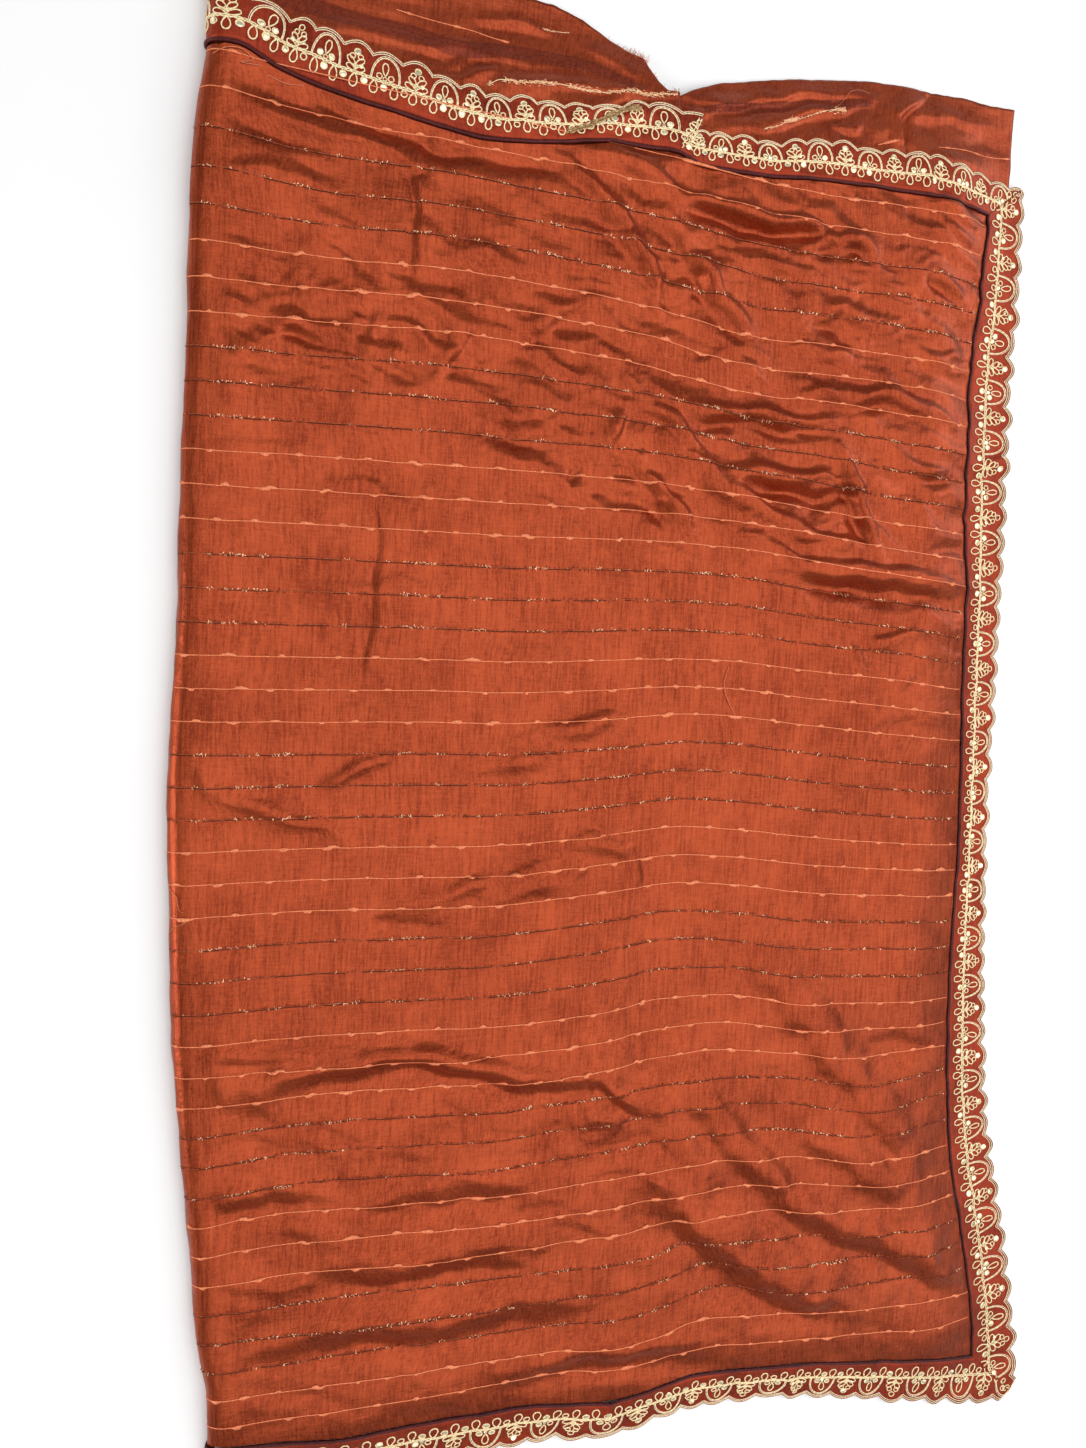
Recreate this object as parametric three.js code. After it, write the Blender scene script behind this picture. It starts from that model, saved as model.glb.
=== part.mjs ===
// A saree folded into a flat packet: the end panel on top with its laced borders,
// two under layers looking out behind the top border, and the folded layers below.
// Millimetres. +X to the open end of the packet, +Y to its upper border, +Z up.
// The origin is the middle of the footprint, on the surface that the packet lies on.
import * as THREE from 'three';

// ---------------------------------------------------------------- driving sizes
const STACK_HEIGHT = 14.4;      // folded layers, floor to top
const LAYER_COUNT = 7;          // folded layers that show at the stack's edges
const GROOVE = 2.6;             // depth of the groove between two folded layers
const CLOTH = 1.3;              // wall of the end panel, as it lies with its lining of air
const UNDER_CLOTH = 1.2;        // wall of the two under layers
const LACE = 1.2;               // wall of the laced border
const GAP = 0.3;                // between two pieces that meet
const CORD_R = 1.5;             // radius of the piping cord
const FOLD_DEPTH = 12;          // how far the left fold reaches out of the stack
const FOLD_PUFF = 2.2;          // how much the left fold stands above the panel
const DRAPE_END = 88;           // length over which the cloth falls to the floor
const STACK_IN_END = 70;        // stack's edge, inside the end seam
const STACK_IN_LOW = 46;        // stack's edge, inside the lower seam
const STACK_OUT_TOP = 0;        // stack's edge, outside the upper seam
const SHOULDER = 16;            // how far the cloth runs level past the stack's edge
const AIR = 1.2;                // slack between the under layers and the border above them
const SCALLOP = 22.5;           // length of one scallop of the lace
const SCALLOP_RISE = 3.4;       // depth of one scallop
const UNDER_TUCK = 70;          // how far the under layers reach below the panel

// Sides: a row for each height up the packet.
// share of the height, x of the left fold, x of the end seam, x of the lace's rim
const SIDES = [
  [0.000, -364, 348, 403.5], [0.041, -366, 342, 395], [0.083, -374, 333, 386],
  [0.127, -378, 322, 374], [0.174, -383, 310, 361], [0.230, -389, 300, 349],
  [0.315, -397, 293, 339], [0.408, -401, 291, 331], [0.502, -404, 290, 326],
  [0.605, -400, 284, 325], [0.708, -400, 278, 323], [0.801, -398, 271, 321],
  [0.876, -398, 270, 318], [0.933, -397, 272, 318], [1.000, -389, 273, 316],
];
// Ends: a row for each place across the packet.
// share of the width, y of the top seam, y of the top rim, y of the lower seam, y of the lower rim
const ENDS = [
  [0.000, 515, 556, -514, -556], [0.034, 516, 555, -516, -559], [0.072, 507, 548, -519, -562],
  [0.110, 501, 544, -522, -565], [0.155, 496, 537, -525, -566], [0.204, 492, 533, -524, -566],
  [0.256, 488, 526, -524, -565], [0.309, 486, 522, -525, -565], [0.364, 490, 524, -526, -565],
  [0.418, 496, 526, -531, -567], [0.460, 501, 531, -535, -574], [0.498, 502, 539, -533, -570],
  [0.540, 503, 541, -528, -564], [0.564, 498, 526, -525, -561], [0.613, 497, 528, -525, -561],
  [0.681, 500, 530, -529, -564], [0.735, 504, 539, -532, -569], [0.822, 508, 541, -541, -581],
  [0.893, 509, 547, -548, -593], [0.945, 509, 545, -553, -601], [1.000, 508, 541, -559, -609],
];
const PLEAT = 0.552;            // share of the width where the top border steps

// Folds of the end panel: from, to, how high each stands, how wide it is.
const FOLDS = [
  { x0: 40, y0: 262, x1: 190, y1: 205, rise: 4.0, width: 18 },
  { x0: -60, y0: 330, x1: 60, y1: 240, rise: 3.4, width: 20 },
  { x0: 60, y0: 175, x1: 260, y1: 140, rise: 3.2, width: 17 },
  { x0: -60, y0: 470, x1: 20, y1: 380, rise: 3.0, width: 17 },
  { x0: -350, y0: -205, x1: -40, y1: -200, rise: 2.8, width: 18 },
  { x0: 60, y0: -80, x1: 190, y1: -300, rise: 3.0, width: 26 },
  { x0: 30, y0: -210, x1: 230, y1: -410, rise: 2.8, width: 24 },
  { x0: -30, y0: -330, x1: 190, y1: -480, rise: 2.6, width: 24 },
  { x0: -380, y0: -440, x1: -100, y1: -470, rise: 2.4, width: 22 },
  { x0: -330, y0: 20, x1: -60, y1: -20, rise: 2.0, width: 22 },
];

// Under layers: a row for each place across, x, y of the raw edge.
const LEFT_EDGE = [[-382, 597], [-330, 601], [-270, 604], [-200, 606], [-134, 605], [-90, 589], [-53, 580], [-46, 566], [-28, 557]];
const RIGHT_EDGE = [[-27, 548], [8, 573], [78, 591], [141, 604], [189, 609], [251, 609], [302, 609]];

// ---------------------------------------------------------------- helpers
const clamp = (x, a, b) => Math.min(b, Math.max(a, x));
const ease = (x) => { const t = clamp(x, 0, 1); return t * t * (3 - 2 * t); };
const mix = (a, b, t) => a + (b - a) * t;
function look(table, column, at) {
  if (at <= table[0][0]) return table[0][column];
  for (let i = 1; i < table.length; i++) {
    if (at <= table[i][0]) {
      return mix(table[i - 1][column], table[i][column], (at - table[i - 1][0]) / (table[i][0] - table[i - 1][0]));
    }
  }
  return table[table.length - 1][column];
}

// Plan of the end panel: a goes from the left fold to the end seam, b from the lower seam to the top seam.
function plan(a, b) {
  return [
    mix(look(SIDES, 1, b), look(SIDES, 2, b), a),
    mix(look(ENDS, 3, a), look(ENDS, 1, a), b),
  ];
}
const shareUp = (y) => clamp((y + 520) / 1025, 0, 1);
const shareAcross = (x, y) => {
  const b = shareUp(y);
  const left = look(SIDES, 1, b);
  return clamp((x - left) / (look(SIDES, 2, b) - left), 0, 1);
};

// Height of what the cloth lies on: the stack's top, then a soft fall past its edges.
function ground(x, y) {
  const end = Math.max(0, x - (look(SIDES, 2, shareUp(y)) - STACK_IN_END + SHOULDER));
  const a = shareAcross(x, y);
  const low = Math.max(0, (look(ENDS, 3, a) + STACK_IN_LOW - SHOULDER) - y);
  const top = Math.max(0, y - (look(ENDS, 1, a) + STACK_OUT_TOP + SHOULDER));
  return STACK_HEIGHT * (1 - ease(Math.hypot(end, low, top) / DRAPE_END));
}
function foldRise(x, y) {
  let sum = 0;
  for (const f of FOLDS) {
    const dx = f.x1 - f.x0, dy = f.y1 - f.y0;
    const t = clamp(((x - f.x0) * dx + (y - f.y0) * dy) / (dx * dx + dy * dy), 0, 1);
    const d = Math.hypot(x - f.x0 - dx * t, y - f.y0 - dy * t) / f.width;
    sum += f.rise * Math.exp(-d * d);
  }
  return Math.min(sum, 4.6);
}
// Underside of the end panel and its borders, clear of the stack and the under layers.
function lie(x, y) {
  const a = shareAcross(x, y);
  const over = ease((y - (look(ENDS, 1, a) - UNDER_TUCK - 45)) / 35);
  const left = look(SIDES, 1, shareUp(y));
  const puff = FOLD_PUFF * Math.exp(-(((x - left - FOLD_DEPTH - 8) / 26) ** 2));
  return ground(x, y) + GAP + over * (UNDER_CLOTH + GAP + AIR) + foldRise(x, y) + puff;
}

// The left fold: the section goes from the top of the packet, round, to its underside.
// turn runs from 0 at the top to 1 underneath, inward is a distance into the cloth.
function round(turn, y, inward) {
  const left = look(SIDES, 1, shareUp(y));
  const x0 = left + FOLD_DEPTH;
  const high = lie(x0, y) + CLOTH;
  const angle = Math.PI * turn;
  const rz = high / 2 - inward, rx = FOLD_DEPTH - inward;
  return [x0 - rx * Math.sin(angle), y, high / 2 + rz * Math.cos(angle)];
}

// A closed wall from two matching nets of points, outer and inner.
function wall(rows, cols, outer, inner) {
  const position = [];
  const index = [];
  const at = (side, i, j) => side * rows * cols + i * cols + j;
  for (const net of [outer, inner]) {
    for (let i = 0; i < rows; i++) for (let j = 0; j < cols; j++) position.push(...net(i, j));
  }
  const quad = (p, q, r, s) => index.push(p, q, r, p, r, s);
  for (let i = 0; i + 1 < rows; i++) {
    for (let j = 0; j + 1 < cols; j++) {
      quad(at(0, i, j), at(0, i, j + 1), at(0, i + 1, j + 1), at(0, i + 1, j));
      quad(at(1, i, j), at(1, i + 1, j), at(1, i + 1, j + 1), at(1, i, j + 1));
    }
  }
  for (let j = 0; j + 1 < cols; j++) {
    quad(at(0, 0, j), at(1, 0, j), at(1, 0, j + 1), at(0, 0, j + 1));
    quad(at(0, rows - 1, j), at(0, rows - 1, j + 1), at(1, rows - 1, j + 1), at(1, rows - 1, j));
  }
  for (let i = 0; i + 1 < rows; i++) {
    quad(at(0, i, 0), at(0, i + 1, 0), at(1, i + 1, 0), at(1, i, 0));
    quad(at(0, i, cols - 1), at(1, i, cols - 1), at(1, i + 1, cols - 1), at(0, i + 1, cols - 1));
  }
  return closed(position, index);
}
// A closed solid with its faces pointing out.
function closed(position, index) {
  let volume = 0;
  const at = (k) => new THREE.Vector3(position[3 * k], position[3 * k + 1], position[3 * k + 2]);
  for (let t = 0; t < index.length; t += 3) volume += at(index[t]).dot(at(index[t + 1]).cross(at(index[t + 2])));
  if (volume < 0) for (let t = 0; t < index.length; t += 3) [index[t + 1], index[t + 2]] = [index[t + 2], index[t + 1]];
  const geometry = new THREE.BufferGeometry();
  geometry.setAttribute('position', new THREE.Float32BufferAttribute(position, 3));
  geometry.setIndex(index);
  geometry.computeVertexNormals();
  return geometry;
}

const model = new THREE.Group();
const satin = () => new THREE.MeshStandardMaterial({ color: 0xa8492a, roughness: 0.45, metalness: 0.0 });
const ribbon = () => new THREE.MeshStandardMaterial({ color: 0xc79a62, roughness: 0.55, metalness: 0.1 });
const plum = () => new THREE.MeshStandardMaterial({ color: 0x43151d, roughness: 0.4, metalness: 0.0 });
function add(name, geometry, material) {
  const mesh = new THREE.Mesh(geometry, material);
  mesh.name = name;
  model.add(mesh);
  return mesh;
}

// ---------------------------------------------------------------- the end panel, with its left fold
const ACROSS = ENDS.map((row) => row[0]).concat([0.858, 0.919, 0.972]).sort((p, q) => p - q);
const UP = [];
for (let i = 0; i + 1 < SIDES.length; i++) {
  const parts = Math.max(1, Math.round((SIDES[i + 1][0] - SIDES[i][0]) * (SIDES[i][0] > 0.9 ? 60 : 23)));
  for (let k = 0; k < parts; k++) UP.push(mix(SIDES[i][0], SIDES[i + 1][0], k / parts));
}
UP.push(1);
const TURNS = [1, 0.86, 0.72, 0.58, 0.44, 0.3, 0.16];
const startShare = (b) => {
  const [x0] = plan(0, b), [x1] = plan(1, b);
  return FOLD_DEPTH / (x1 - x0);
};
function panelPoint(j, i, inner) {
  const b = UP[i];
  if (j < TURNS.length) {
    const [, y] = plan(0, b);
    return round(TURNS[j], y, inner ? CLOTH : 0);
  }
  const k = j - TURNS.length;
  const a = k === 0 ? startShare(b) : Math.max(ACROSS[k], startShare(b) + 0.012 * k);
  const [x, y] = plan(a, b);
  return [x, y, lie(x, y) + (inner ? 0 : CLOTH)];
}
const columns = TURNS.length + ACROSS.length;
add('pallu_panel', wall(UP.length, columns,
  (i, j) => panelPoint(j, i, false), (i, j) => panelPoint(j, i, true)), satin());

// ---------------------------------------------------------------- lace and piping along the seams
// A border point: along the seam, out from it by a distance.
function seamTop(a, share, out) {
  const [x, y] = plan(a, 1);
  const rim = look(ENDS, 2, a);
  return [x + (a > 0.97 ? 0 : 0), y + out + share * (rim - y - out)];
}
const CORD_SPACE = 2 * CORD_R + 2 * GAP;
function scallopAt(s) {
  return SCALLOP_RISE * (Math.abs(Math.sin(Math.PI * s / SCALLOP)) - 0.6);
}
// Corner points, where the borders meet on a mitre.
const topCorner = { seam: plan(1, 1), rim: [look(SIDES, 3, 1), look(ENDS, 2, 1)] };
const lowCorner = { seam: plan(1, 0), rim: [look(SIDES, 3, 0), look(ENDS, 4, 0) < 0 ? look(ENDS, 4, 1) : 0] };

function stations(list, step, length) {
  const out = [];
  for (let i = 0; i + 1 < list.length; i++) {
    const parts = Math.max(1, Math.round((list[i + 1] - list[i]) * length / step));
    for (let k = 0; k < parts; k++) out.push(mix(list[i], list[i + 1], k / parts));
  }
  out.push(list[list.length - 1]);
  return out;
}
// One lace strip: a row of stations, each with its inner point and its rim point in plan.
function strip(name, line, material, columns) {
  const inner = (q) => [q[0][0], q[0][1]];
  const outerPoint = (q) => [q[1][0], q[1][1]];
  const net = (up) => (i, j) => {
    const q = line[i];
    const t = j / (columns - 1);
    const p = [mix(inner(q)[0], outerPoint(q)[0], t), mix(inner(q)[1], outerPoint(q)[1], t)];
    if (q.turn !== undefined) {
      const [x, , z] = round(q.turn, p[1], up ? 0 : LACE);
      return [x, p[1], z];
    }
    return [p[0], p[1], lie(p[0], p[1]) + (up ? LACE : 0)];
  };
  add(name, wall(line.length, columns, net(true), net(false)), material);
}
function tube(name, line, radius) {
  // line: points in plan, or points on the left fold; a six-sided cord along them
  const sides = 6;
  const centre = line.map((q) => {
    if (q.turn !== undefined) return new THREE.Vector3(...round(q.turn, q.y, radius));
    return new THREE.Vector3(q.x, q.y, lie(q.x, q.y) + radius);
  });
  const position = [], index = [];
  for (let i = 0; i < centre.length; i++) {
    const before = centre[Math.max(0, i - 1)], after = centre[Math.min(centre.length - 1, i + 1)];
    const along = after.clone().sub(before).normalize();
    const side = q3(along, line[i]);
    const up = side.clone().cross(along).normalize();
    for (let k = 0; k < sides; k++) {
      const angle = (k + 0.5) * 2 * Math.PI / sides;
      const p = centre[i].clone().addScaledVector(side, radius * Math.cos(angle)).addScaledVector(up, radius * Math.sin(angle));
      position.push(p.x, p.y, p.z);
    }
  }
  for (let i = 0; i + 1 < centre.length; i++) {
    for (let k = 0; k < sides; k++) {
      const n = (k + 1) % sides, p = i * sides;
      index.push(p + k, p + sides + k, p + sides + n, p + k, p + sides + n, p + n);
    }
  }
  for (let k = 1; k + 1 < sides; k++) {
    index.push(0, k, k + 1);
    const p = (centre.length - 1) * sides;
    index.push(p, p + k + 1, p + k);
  }
  add(name, closed(position, index), plum());
}
// A sideways direction for the cord's section that never turns over.
function q3(along, q) {
  const guide = q.guide ? new THREE.Vector3(...q.guide) : new THREE.Vector3(0, 1, 0);
  return guide.addScaledVector(along, -guide.dot(along)).normalize();
}

// Top border: from underneath the left fold to the pleat, then to the corner.
const TOP_LENGTH = 660;
function topLine(from, to, withFold) {
  const line = [];
  const corner = to >= 1;
  if (withFold) {
    for (const turn of TURNS) {
      const y0 = plan(0, 1)[1];
      const p = [[0, y0 + CORD_SPACE], [0, look(ENDS, 2, 0) - 1]];
      p.turn = turn;
      line.push(p);
    }
  }
  const start = withFold ? startShare(1) : from;
  const list = [start, ...ACROSS.filter((a) => a > start + 0.004 && a < to - 0.004), to];
  for (const a of stations(list, 7.5, TOP_LENGTH)) {
    const s = a * TOP_LENGTH;
    const [x, y] = plan(a, 1);
    const [xr] = [x];
    const slant = corner ? ease((a - 0.9) / 0.1) : 0;
    const rimX = mix(xr, mix(xr, topCorner.rim[0], slant), 1);
    const inX = mix(x, x + CORD_SPACE, slant);
    line.push([[inX, y + CORD_SPACE], [rimX, look(ENDS, 2, a) + scallopAt(s)]]);
  }
  return line;
}
strip('lace_top_left', topLine(0, PLEAT - 0.0006, true), ribbon(), 3);
strip('lace_top_right', topLine(PLEAT + 0.0006, 1, false), ribbon(), 3);

// End border, between the two mitred corners.
const END_LENGTH = 1070;
{
  const line = [];
  for (const b of stations(SIDES.map((r) => r[0]), 7.5, END_LENGTH)) {
    const [x, y] = plan(1, b);
    const rim = look(SIDES, 3, b);
    const up = ease((b - 0.93) / 0.07), down = ease((0.07 - b) / 0.07);
    const rimY = mix(mix(y, topCorner.rim[1] - 0.9, up), lowCorner.rim[1] + 0.9, down);
    const inY = y + up * (CORD_SPACE - 0.9) - down * (CORD_SPACE - 0.9);
    line.push([[x + CORD_SPACE, inY], [rim + scallopAt(b * END_LENGTH) * (1 - up) * (1 - down), rimY]]);
  }
  strip('lace_end', line.reverse(), ribbon(), 2);
}
// Lower border, from the fold to the corner.
{
  const line = [];
  const from = startShare(0);
  for (const turn of TURNS) {
    const p = [[0, plan(0, 0)[1] - CORD_SPACE], [0, look(ENDS, 4, 0) + 1]];
    p.turn = turn;
    line.push(p);
  }
  const list = [from, ...ACROSS.filter((a) => a > from + 0.004)];
  for (const a of stations(list, 7.5, 710)) {
    const [x, y] = plan(a, 0);
    const slant = ease((a - 0.9) / 0.1);
    const rimX = mix(x, lowCorner.rim[0], slant);
    line.push([[mix(x, x + CORD_SPACE, slant), y - CORD_SPACE - 0.6 * slant], [rimX, look(ENDS, 4, a) - scallopAt(a * 710) * (1 - slant)]]);
  }
  strip('lace_bottom', line.reverse(), ribbon(), 2);
}

// Piping cords in the seams.
{
  const mid = CORD_R + GAP;
  const top = TURNS.map((turn) => ({ turn, y: plan(0, 1)[1] + mid }));
  for (const a of [startShare(1), ...ACROSS.slice(1)]) {
    const [x, y] = plan(a, 1);
    top.push({ x, y: y + mid });
  }
  tube('piping_top', top, CORD_R);
  const end = [];
  for (const b of UP) {
    const [x, y] = plan(1, b);
    end.push({ x: x + mid, y, guide: [-1, 0, 0] });
  }
  end[end.length - 1].y -= 0.6;
  end[0].y += 0.6;
  tube('piping_end', end.reverse(), CORD_R);
  const low = TURNS.map((turn) => ({ turn, y: plan(0, 0)[1] - mid }));
  for (const a of [startShare(0), ...ACROSS.slice(1)]) {
    const [x, y] = plan(a, 0);
    low.push({ x, y: y - mid });
  }
  tube('piping_bottom', low, CORD_R);
}

// ---------------------------------------------------------------- under layers behind the top border
function underLayer(name, coarse, tuckFrom) {
  const rows = 8;
  const edge = [];
  for (let i = 0; i + 1 < coarse.length; i++) {
    const parts = Math.max(1, Math.round((coarse[i + 1][0] - coarse[i][0]) / 26));
    for (let k = 0; k < parts; k++) edge.push([0, 1].map((c) => mix(coarse[i][c], coarse[i + 1][c], k / parts)));
  }
  edge.push(coarse[coarse.length - 1]);
  const net = (up) => (i, j) => {
    const [x, yEdge] = edge[i];
    const y0 = look(ENDS, 1, shareAcross(x, 500)) - tuckFrom;
    const t = j / (rows - 1);
    const y = mix(y0, yEdge, t);
    return [x, y, ground(x, y) + GAP + (up ? UNDER_CLOTH : 0)];
  };
  add(name, wall(edge.length, rows, net(false), net(true)), satin());
}
underLayer('under_layer_left', LEFT_EDGE, UNDER_TUCK);
underLayer('under_layer_right', RIGHT_EDGE, UNDER_TUCK);

// ---------------------------------------------------------------- the folded layers below
{
  const outline = [];
  const inset = FOLD_DEPTH + 3;
  const corner = 22;
  const low = (a) => look(ENDS, 3, a) + STACK_IN_LOW, high = (a) => look(ENDS, 1, a) + STACK_OUT_TOP;
  const left = (b) => look(SIDES, 1, b) + inset, right = (b) => look(SIDES, 2, b) - STACK_IN_END;
  const width = (b) => look(SIDES, 2, b) - look(SIDES, 1, b);
  const acrossAt = (x, b) => (x - look(SIDES, 1, b)) / width(b);
  const push = (x, y) => outline.push([x, y]);
  const round4 = (cx, cy, from) => {
    for (let k = 0; k <= 3; k++) {
      const t = from + k * Math.PI / 6;
      push(cx + corner * Math.cos(t), cy + corner * Math.sin(t));
    }
  };
  const yLow0 = low(acrossAt(left(0), 0)), yLow1 = low(acrossAt(right(0), 0));
  const yHigh1 = high(acrossAt(right(1), 1)), yHigh0 = high(acrossAt(left(1), 1));
  round4(left(0.02) + corner, yLow0 + corner, Math.PI);
  for (let k = 1; k < 10; k++) {
    const x = mix(left(0) + corner, right(0) - corner, k / 10);
    push(x, low(acrossAt(x, 0)));
  }
  round4(right(0.02) - corner, yLow1 + corner, 1.5 * Math.PI);
  for (let k = 1; k < 11; k++) push(right(k / 11), mix(yLow1 + corner, yHigh1 - corner, k / 11));
  round4(right(1) - corner, yHigh1 - corner, 0);
  for (let k = 9; k > 0; k--) {
    const x = mix(left(1) + corner, right(1) - corner, k / 10);
    push(x, high(acrossAt(x, 1)));
  }
  round4(left(1) + corner, yHigh0 - corner, Math.PI / 2);
  for (let k = 10; k > 0; k--) push(left(k / 11), mix(yLow0 + corner, yHigh0 - corner, k / 11));
  const n = outline.length;
  const moved = (d) => outline.map((p, i) => {
    const q = outline[(i + n - 1) % n], r = outline[(i + 1) % n];
    const tx = r[0] - q[0], ty = r[1] - q[1], l = Math.hypot(tx, ty);
    return [p[0] - d * ty / l, p[1] + d * tx / l];
  });
  const position = [], index = [];
  const rings = [];
  const thick = STACK_HEIGHT / LAYER_COUNT;
  for (let m = 0; m < LAYER_COUNT; m++) {
    const shift = 1.5 + 1.4 * Math.sin(2.3 * m + 0.7);
    rings.push([m * thick, (m === 0 ? 1.2 : GROOVE) + shift * (m > 0 ? 0.5 : 1)]);
    rings.push([(m + 0.5) * thick, shift]);
  }
  rings.push([STACK_HEIGHT, 2.6]);
  for (const [z, d] of rings) for (const [x, y] of moved(d)) position.push(x, y, z);
  for (let m = 0; m + 1 < rings.length; m++) {
    for (let i = 0; i < n; i++) {
      const j = (i + 1) % n, p = m * n, q = p + n;
      index.push(p + i, p + j, q + j, p + i, q + j, q + i);
    }
  }
  const flat = moved(1.5).map(([x, y]) => new THREE.Vector2(x, y));
  const top = (rings.length - 1) * n;
  for (const [p, q, r] of THREE.ShapeUtils.triangulateShape(flat, [])) {
    index.push(top + p, top + q, top + r);
    index.push(p, r, q);
  }
  add('folded_layers', closed(position, index), satin());
}

export default model;
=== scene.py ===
import math

import bpy
import numpy as np
from mathutils import Matrix, Vector


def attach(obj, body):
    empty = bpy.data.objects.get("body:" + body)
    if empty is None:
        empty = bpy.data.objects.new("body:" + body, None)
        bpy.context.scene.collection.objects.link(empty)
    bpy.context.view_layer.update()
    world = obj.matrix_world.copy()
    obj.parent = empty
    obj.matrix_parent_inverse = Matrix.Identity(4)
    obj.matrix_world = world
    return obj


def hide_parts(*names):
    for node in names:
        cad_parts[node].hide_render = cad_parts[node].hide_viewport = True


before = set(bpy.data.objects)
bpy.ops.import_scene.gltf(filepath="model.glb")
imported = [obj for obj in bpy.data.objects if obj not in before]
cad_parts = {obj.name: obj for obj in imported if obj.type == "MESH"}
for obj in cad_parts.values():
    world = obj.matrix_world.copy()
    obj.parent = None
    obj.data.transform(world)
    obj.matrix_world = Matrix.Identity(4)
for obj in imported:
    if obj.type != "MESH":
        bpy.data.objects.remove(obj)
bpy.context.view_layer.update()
MM = 0.001
BODY = "root"

# ------------------------------------------------------------------ camera, from the woven threads' even spacing
CAM_POS = Vector((-388.5, 101.6, 841.2)) * MM
CAM_RIGHT = Vector((0.95111975, 0.04439347, 0.30561484))
CAM_DOWN = Vector((0.0229395, -0.99703594, 0.07343778))
CAM_AHEAD = Vector((0.30796914, -0.06283748, -0.94931895))
cam_data = bpy.data.cameras.new("camera")
cam_data.sensor_fit = "VERTICAL"
cam_data.sensor_height = 36.0
cam_data.lens = 36.0 * 1088.0 / 1448.0
cam_data.clip_start = 0.01
camera = bpy.data.objects.new("camera", cam_data)
turn = Matrix((CAM_RIGHT, -CAM_DOWN, -CAM_AHEAD)).transposed().to_4x4()
camera.matrix_world = Matrix.Translation(CAM_POS) @ turn
bpy.context.scene.collection.objects.link(camera)
bpy.context.scene.camera = camera
bpy.context.scene.view_settings.view_transform = "Standard"

# ------------------------------------------------------------------ sizes, in millimetres
STACK_HEIGHT = 14.4
LAYERS = 7
CLOTH = 1.3
UNDER_CLOTH = 1.2
LACE = 1.2
GAP = 0.3
CORD_R = 1.4
FOLD_DEPTH = 12.0
FOLD_PUFF = 2.2
DRAPE_END = 88.0
STACK_IN_END, STACK_IN_LOW, STACK_OUT_TOP = 70.0, 46.0, 0.0
SHOULDER = 16.0
AIR = 1.2
THREAD_GAP = 24.0  # between two woven cross threads
THREAD_TOP = 503.1  # the uppermost one
REPEAT = 45.0  # of the lace

# share of the height, x of the left fold, x of the end seam, x of the lace's rim
SIDES = np.array([
    [0.000, -364, 348, 403.5], [0.041, -366, 342, 395], [0.083, -374, 333, 386],
    [0.127, -378, 322, 374], [0.174, -383, 310, 361], [0.230, -389, 300, 349],
    [0.315, -397, 293, 339], [0.408, -401, 291, 331], [0.502, -404, 290, 326],
    [0.605, -400, 284, 325], [0.708, -400, 278, 323], [0.801, -398, 271, 321],
    [0.876, -398, 270, 318], [0.933, -397, 272, 318], [1.000, -389, 273, 316],
])
# share of the width, y of the top seam, y of the top rim, y of the lower seam, y of the lower rim
ENDS = np.array([
    [0.000, 515, 556, -514, -556], [0.034, 516, 555, -516, -559], [0.072, 507, 548, -519, -562],
    [0.110, 501, 544, -522, -565], [0.155, 496, 537, -525, -566], [0.204, 492, 533, -524, -566],
    [0.256, 488, 526, -524, -565], [0.309, 486, 522, -525, -565], [0.364, 490, 524, -526, -565],
    [0.418, 496, 526, -531, -567], [0.460, 501, 531, -535, -574], [0.498, 502, 539, -533, -570],
    [0.540, 503, 541, -528, -564], [0.564, 498, 526, -525, -561], [0.613, 497, 528, -525, -561],
    [0.681, 500, 530, -529, -564], [0.735, 504, 539, -532, -569], [0.822, 508, 541, -541, -581],
    [0.893, 509, 547, -548, -593], [0.945, 509, 545, -553, -601], [1.000, 508, 541, -559, -609],
])
PLEAT = 0.552

# How the woven threads bow: rise in mm of a thread, a row for each height y, a column for each x.
WEFT_X = [-375, -300, -225, -150, -75, -35, 0, 50, 125, 200, 275]
WEFT = [
    (500, [8.4, 5.1, 2.9, 1.2, -1.0, -3.1, -5.2, -7.6, -7.5, -4.5, -4.9]),
    (430, [0.9, -2.1, 2.5, 2.6, 0.6, -2.4, -5.9, -9.9, -9.0, -6.6, -7.7]),
    (350, [-2.2, 1.6, 6.5, 6.9, 3.9, 0.2, -5.8, -11.5, -8.7, -9.5, -11.8]),
    (270, [-1.6, 2.0, 4.5, 5.9, 6.8, 6.3, 3.2, -1.5, -5.1, -10.9, -12.8]),
    (190, [-3.0, -0.6, 0.8, 2.4, 6.1, 7.6, 8.1, 7.1, -0.6, -6.0, -10.3]),
    (110, [-4.1, -2.3, -0.4, 0.5, 4.5, 7.3, 8.7, 8.5, 2.7, -0.8, -8.1]),
    (30, [-4.3, -2.8, -0.8, -0.4, 4.5, 8.7, 12.2, 11.1, 4.2, -1.6, -6.1]),
    (-50, [-4.1, -2.4, -2.2, -1.7, 4.6, 9.1, 12.6, 10.1, 2.5, -3.0, -7.0]),
    (-130, [-4.7, -1.5, -2.2, -2.0, 4.6, 8.8, 13.4, 11.1, 0.8, -2.6, -6.4]),
    (-210, [-4.8, -3.2, -4.0, -5.7, -1.4, 2.8, 7.8, 10.4, -0.7, -5.2, -7.7]),
    (-290, [-1.9, 2.3, 0.0, -3.8, 0.3, 2.2, 7.9, 10.0, 5.1, -8.2, -3.1]),
    (-370, [0.7, 3.1, 0.6, -2.7, -1.3, -1.2, 2.0, 6.1, 3.4, -6.1, -8.9]),
    (-450, [4.9, 1.6, 0.4, -0.4, -1.1, -4.4, -0.5, 10.1, -0.3, -5.0, -8.6]),
    (-530, [11.1, 7.2, 7.2, 8.9, 5.2, -1.7, -1.9, 4.2, -0.1, -5.4, -13.5]),
]


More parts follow.
